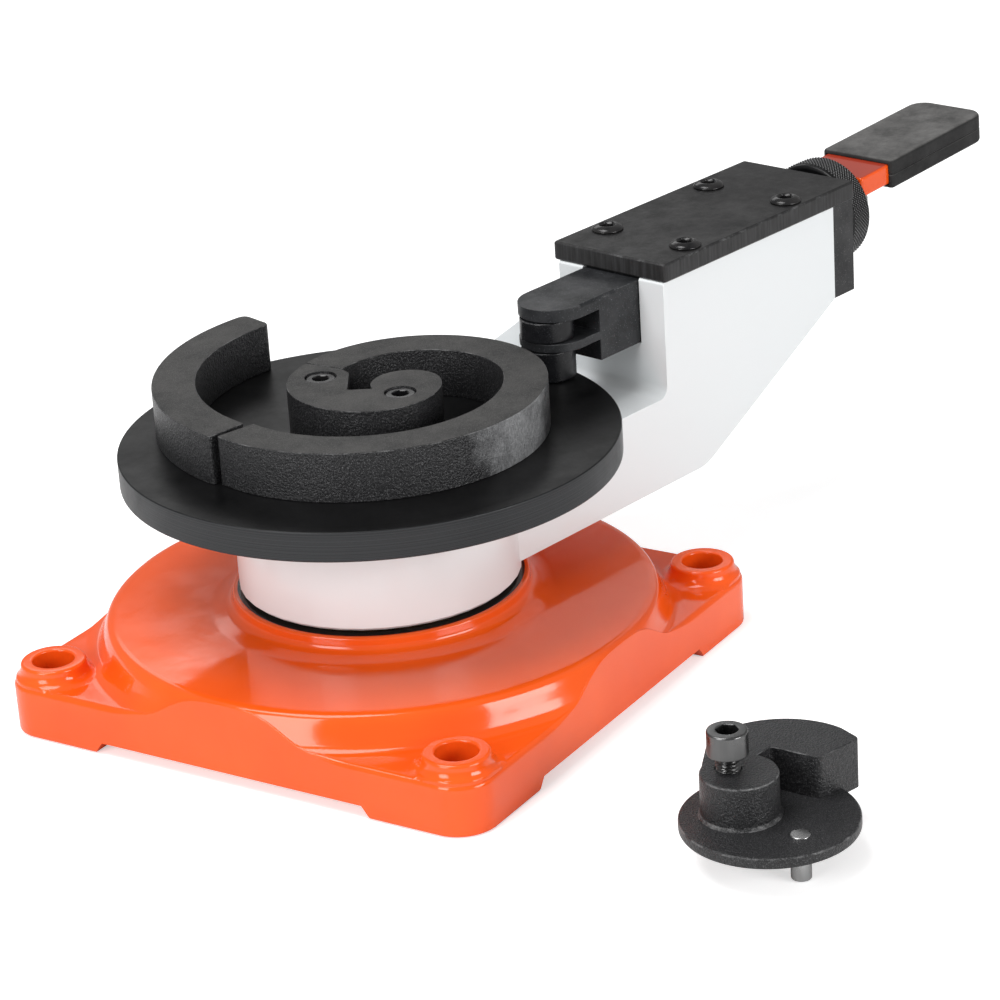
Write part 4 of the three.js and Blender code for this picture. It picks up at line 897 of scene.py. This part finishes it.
def grip_skin():
    """A rounded outline carried up its thickness, with rounded edges and a groove half way where the
    mould parts, and hollowed for the bar from its front."""
    outline = np.concatenate([
        arc((grip_end - grip_corner, grip_half - grip_corner), grip_corner, 0, 90, 5),
        arc((grip_start + front_corner, grip_half - front_corner), front_corner, 90, 180, 12),
        arc((grip_start + front_corner, front_corner - grip_half), front_corner, 180, 270, 12),
        arc((grip_end - grip_corner, grip_corner - grip_half), grip_corner, 270, 360, 5),
    ])
    low, high = grip_middle - grip_thickness / 2, grip_middle + grip_thickness / 2
    roll = np.linspace(0, math.pi / 2, 7)
    rise = np.stack([grip_edge * (1 - np.sin(roll)), low + grip_edge * (1 - np.cos(roll))], -1)
    fall = np.stack([grip_edge * (1 - np.cos(roll)), high - grip_edge * (1 - np.sin(roll))], -1)
    seam = [(0.0, grip_middle - seam_half), (seam_depth, grip_middle - seam_foot),
            (seam_depth, grip_middle + seam_foot), (0.0, grip_middle + seam_half)]
    skin = raised("grip_skin", outline, np.concatenate([rise, seam, fall]))
    pocket = ringed("pocket", np.array([
        [(x, -pocket_half, pocket_low), (x, pocket_half, pocket_low), (x, pocket_half, pocket_high),
         (x, -pocket_half, pocket_high)] for x in (grip_start - 2.0, pocket_end)]))
    return tilted(combined(skin, [pocket], "DIFFERENCE"))


def grip_rubber():
    """Matt black rubber with pale dust settled in blots on its upper face."""
    rubber = finish_of("grip_rubber", Specular_IOR_Level=0.25)
    blots = spread(rubber, grain(rubber, 55.0, 8.0, 0.8), 0.35, 1.0, 0.36, 0.70)
    settled = spread(rubber, facing_up(rubber), 0.15, 1.0, 0.0, 1.0)
    dust = product(rubber, blots, settled)
    coloured(rubber, dust, (0.004, 0.004, 0.0045), (0.17, 0.167, 0.163))
    dulled(rubber, 0.5, 0.72, 90.0, 5.0)
    relief(rubber, (grain(rubber, 900.0, 3.0, 0.7), 0.03), (grain(rubber, 120.0, 2.0), 0.08))
    return rubber


shown(grip_skin(), ["handle_grip"], "slider", grip_rubber(), 40.0)

# The spare former stands beside the base: a small hook on its own round plate, with a dowel under it
# and a cap screw through its hub. It is cast and painted as the others are.
spare_centre = np.array([-38.3, -233.9])
spare_hub = np.array([-5.1, 9.9])
spare_screw_place = np.array([-5.3, 14.8])
spare_dowel_place = np.array([-5.8, -18.6])
spare_stand, spare_plate_top, spare_top = 13.8, 18.3, 36.0
spare_radius, spare_hub_radius, dowel_radius = 34.7, 15.2, 4.0


def spare_skin():
    """The plate and the hub are turned, the arm is an outline raised with rounded edges, and the
    three are joined and drilled."""
    core = 2.0
    plate_profile = softened([(core, spare_stand), (spare_radius, spare_stand),
                              (spare_radius, spare_plate_top), (core, spare_plate_top)],
                             [0, 0.9, 1.1, 0], 5, closed=False)
    hub_profile = softened([(core, spare_stand + 1), (16.4, spare_stand + 1), (16.4, spare_plate_top),
                            (spare_hub_radius, spare_plate_top + 1.0), (spare_hub_radius, spare_top),
                            (core, spare_top)], [0, 0, 0.8, 0.8, 1.1, 0], 5, closed=False)
    plate = turned("spare_skin", plate_profile, 128, spare_centre)
    hub = turned("hub", hub_profile, 96, spare_centre + spare_hub)
    outline = np.concatenate([
        [(20.8, -8.2), (42.9, -11.1)],
        arc((13.1, 3.3), 33.2, -6, 96, 3),
        [on_circle(spare_hub, 14.9, 112), spare_hub, (spare_hub[0] + 13.0, 12.6), (17.9, 12.6)],
    ]) + spare_centre
    arm = raised("arm", corners_eased(outline, 2.2), [
        (0.0, spare_stand + 1.5), (0.0, spare_top - 0.6), (0.05, spare_top - 0.36), (0.15, spare_top - 0.18),
        (0.3, spare_top - 0.07), (0.5, spare_top - 0.02)])
    whole = combined(plate, [hub, arm], "UNION")
    drills = [turned("drill", [(5.3, 0.0), (5.3, 60.0)], 48, spare_centre + spare_screw_place),
              turned("drill", [(4.1, 0.0), (4.1, 60.0)], 48, spare_centre + spare_dowel_place)]
    return combined(whole, drills, "DIFFERENCE")


spare_iron = cast_black("spare_iron", ground=False)
shown(spare_skin(), ["spare_former"], "spare", spare_iron, 40.0)
dowel_profile = softened([(0.6, 0.0), (dowel_radius, 0.0), (dowel_radius, 18.6), (0.6, 18.6)],
                         [0, 0.8, 0.5, 0], 5, closed=False)
shown(turned("dowel", dowel_profile, 64, spare_centre + spare_dowel_place), ["spare_dowel"], "spare",
      bright_steel("dowel_steel", 0.22))


def threaded_screw(place, shank, head, height, seat, reach, key):
    """A socket screw with its thread on the shank, a ridge that climbs as the angle a turns:
    r = shank - depth |2 frac(z / pitch - a / 2 pi) - 1|. It fades out at both ends."""
    top, pitch, depth, steps = seat + height, 1.5, 0.85, 96
    angle = np.linspace(0.0, 2 * math.pi, steps, endpoint=False)
    along = np.linspace(seat - reach, seat - 0.6, 260)
    wave = abs(2 * ((along[:, None] / pitch - angle[None, :] / (2 * math.pi)) % 1.0) - 1)
    ends = np.clip(np.minimum(along - seat + reach, seat - 0.6 - along) / 0.8, 0.0, 1.0)[:, None]
    thread = shank - depth * wave * ends - 0.5 * (1 - ends)
    rim = softened([(shank, seat - 0.3), (shank, seat), (head, seat), (head, top), (key + 0.9, top),
                    (key + 0.5, top)], [0, 0, 0.5, 1.0, 0, 0], 5, closed=False)
    body = np.repeat(rim[:, :1], steps, 1)
    flats = 1 / np.cos((angle % (math.pi / 3)) - math.pi / 6)
    socket = np.array([(key, top - 0.35), (key, top - 0.55 * height), (0.5, top - 0.62 * height)])
    radius = np.concatenate([np.full((1, steps), 0.5), thread, body, socket[:, :1] * flats])
    height_of = np.concatenate([[seat - reach], along, rim[:, 1], socket[:, 1]])
    return wound("spare_screw_skin", radius, angle, height_of[:, None], place)


shown(threaded_screw(spare_centre + spare_screw_place, 5.0, 8.0, 10.0, spare_top + 6.2, 40.0, 4.0),
      ["spare_screw"], "spare", bright_steel("spare_screw_steel", 0.26, 0.3), 60.0)
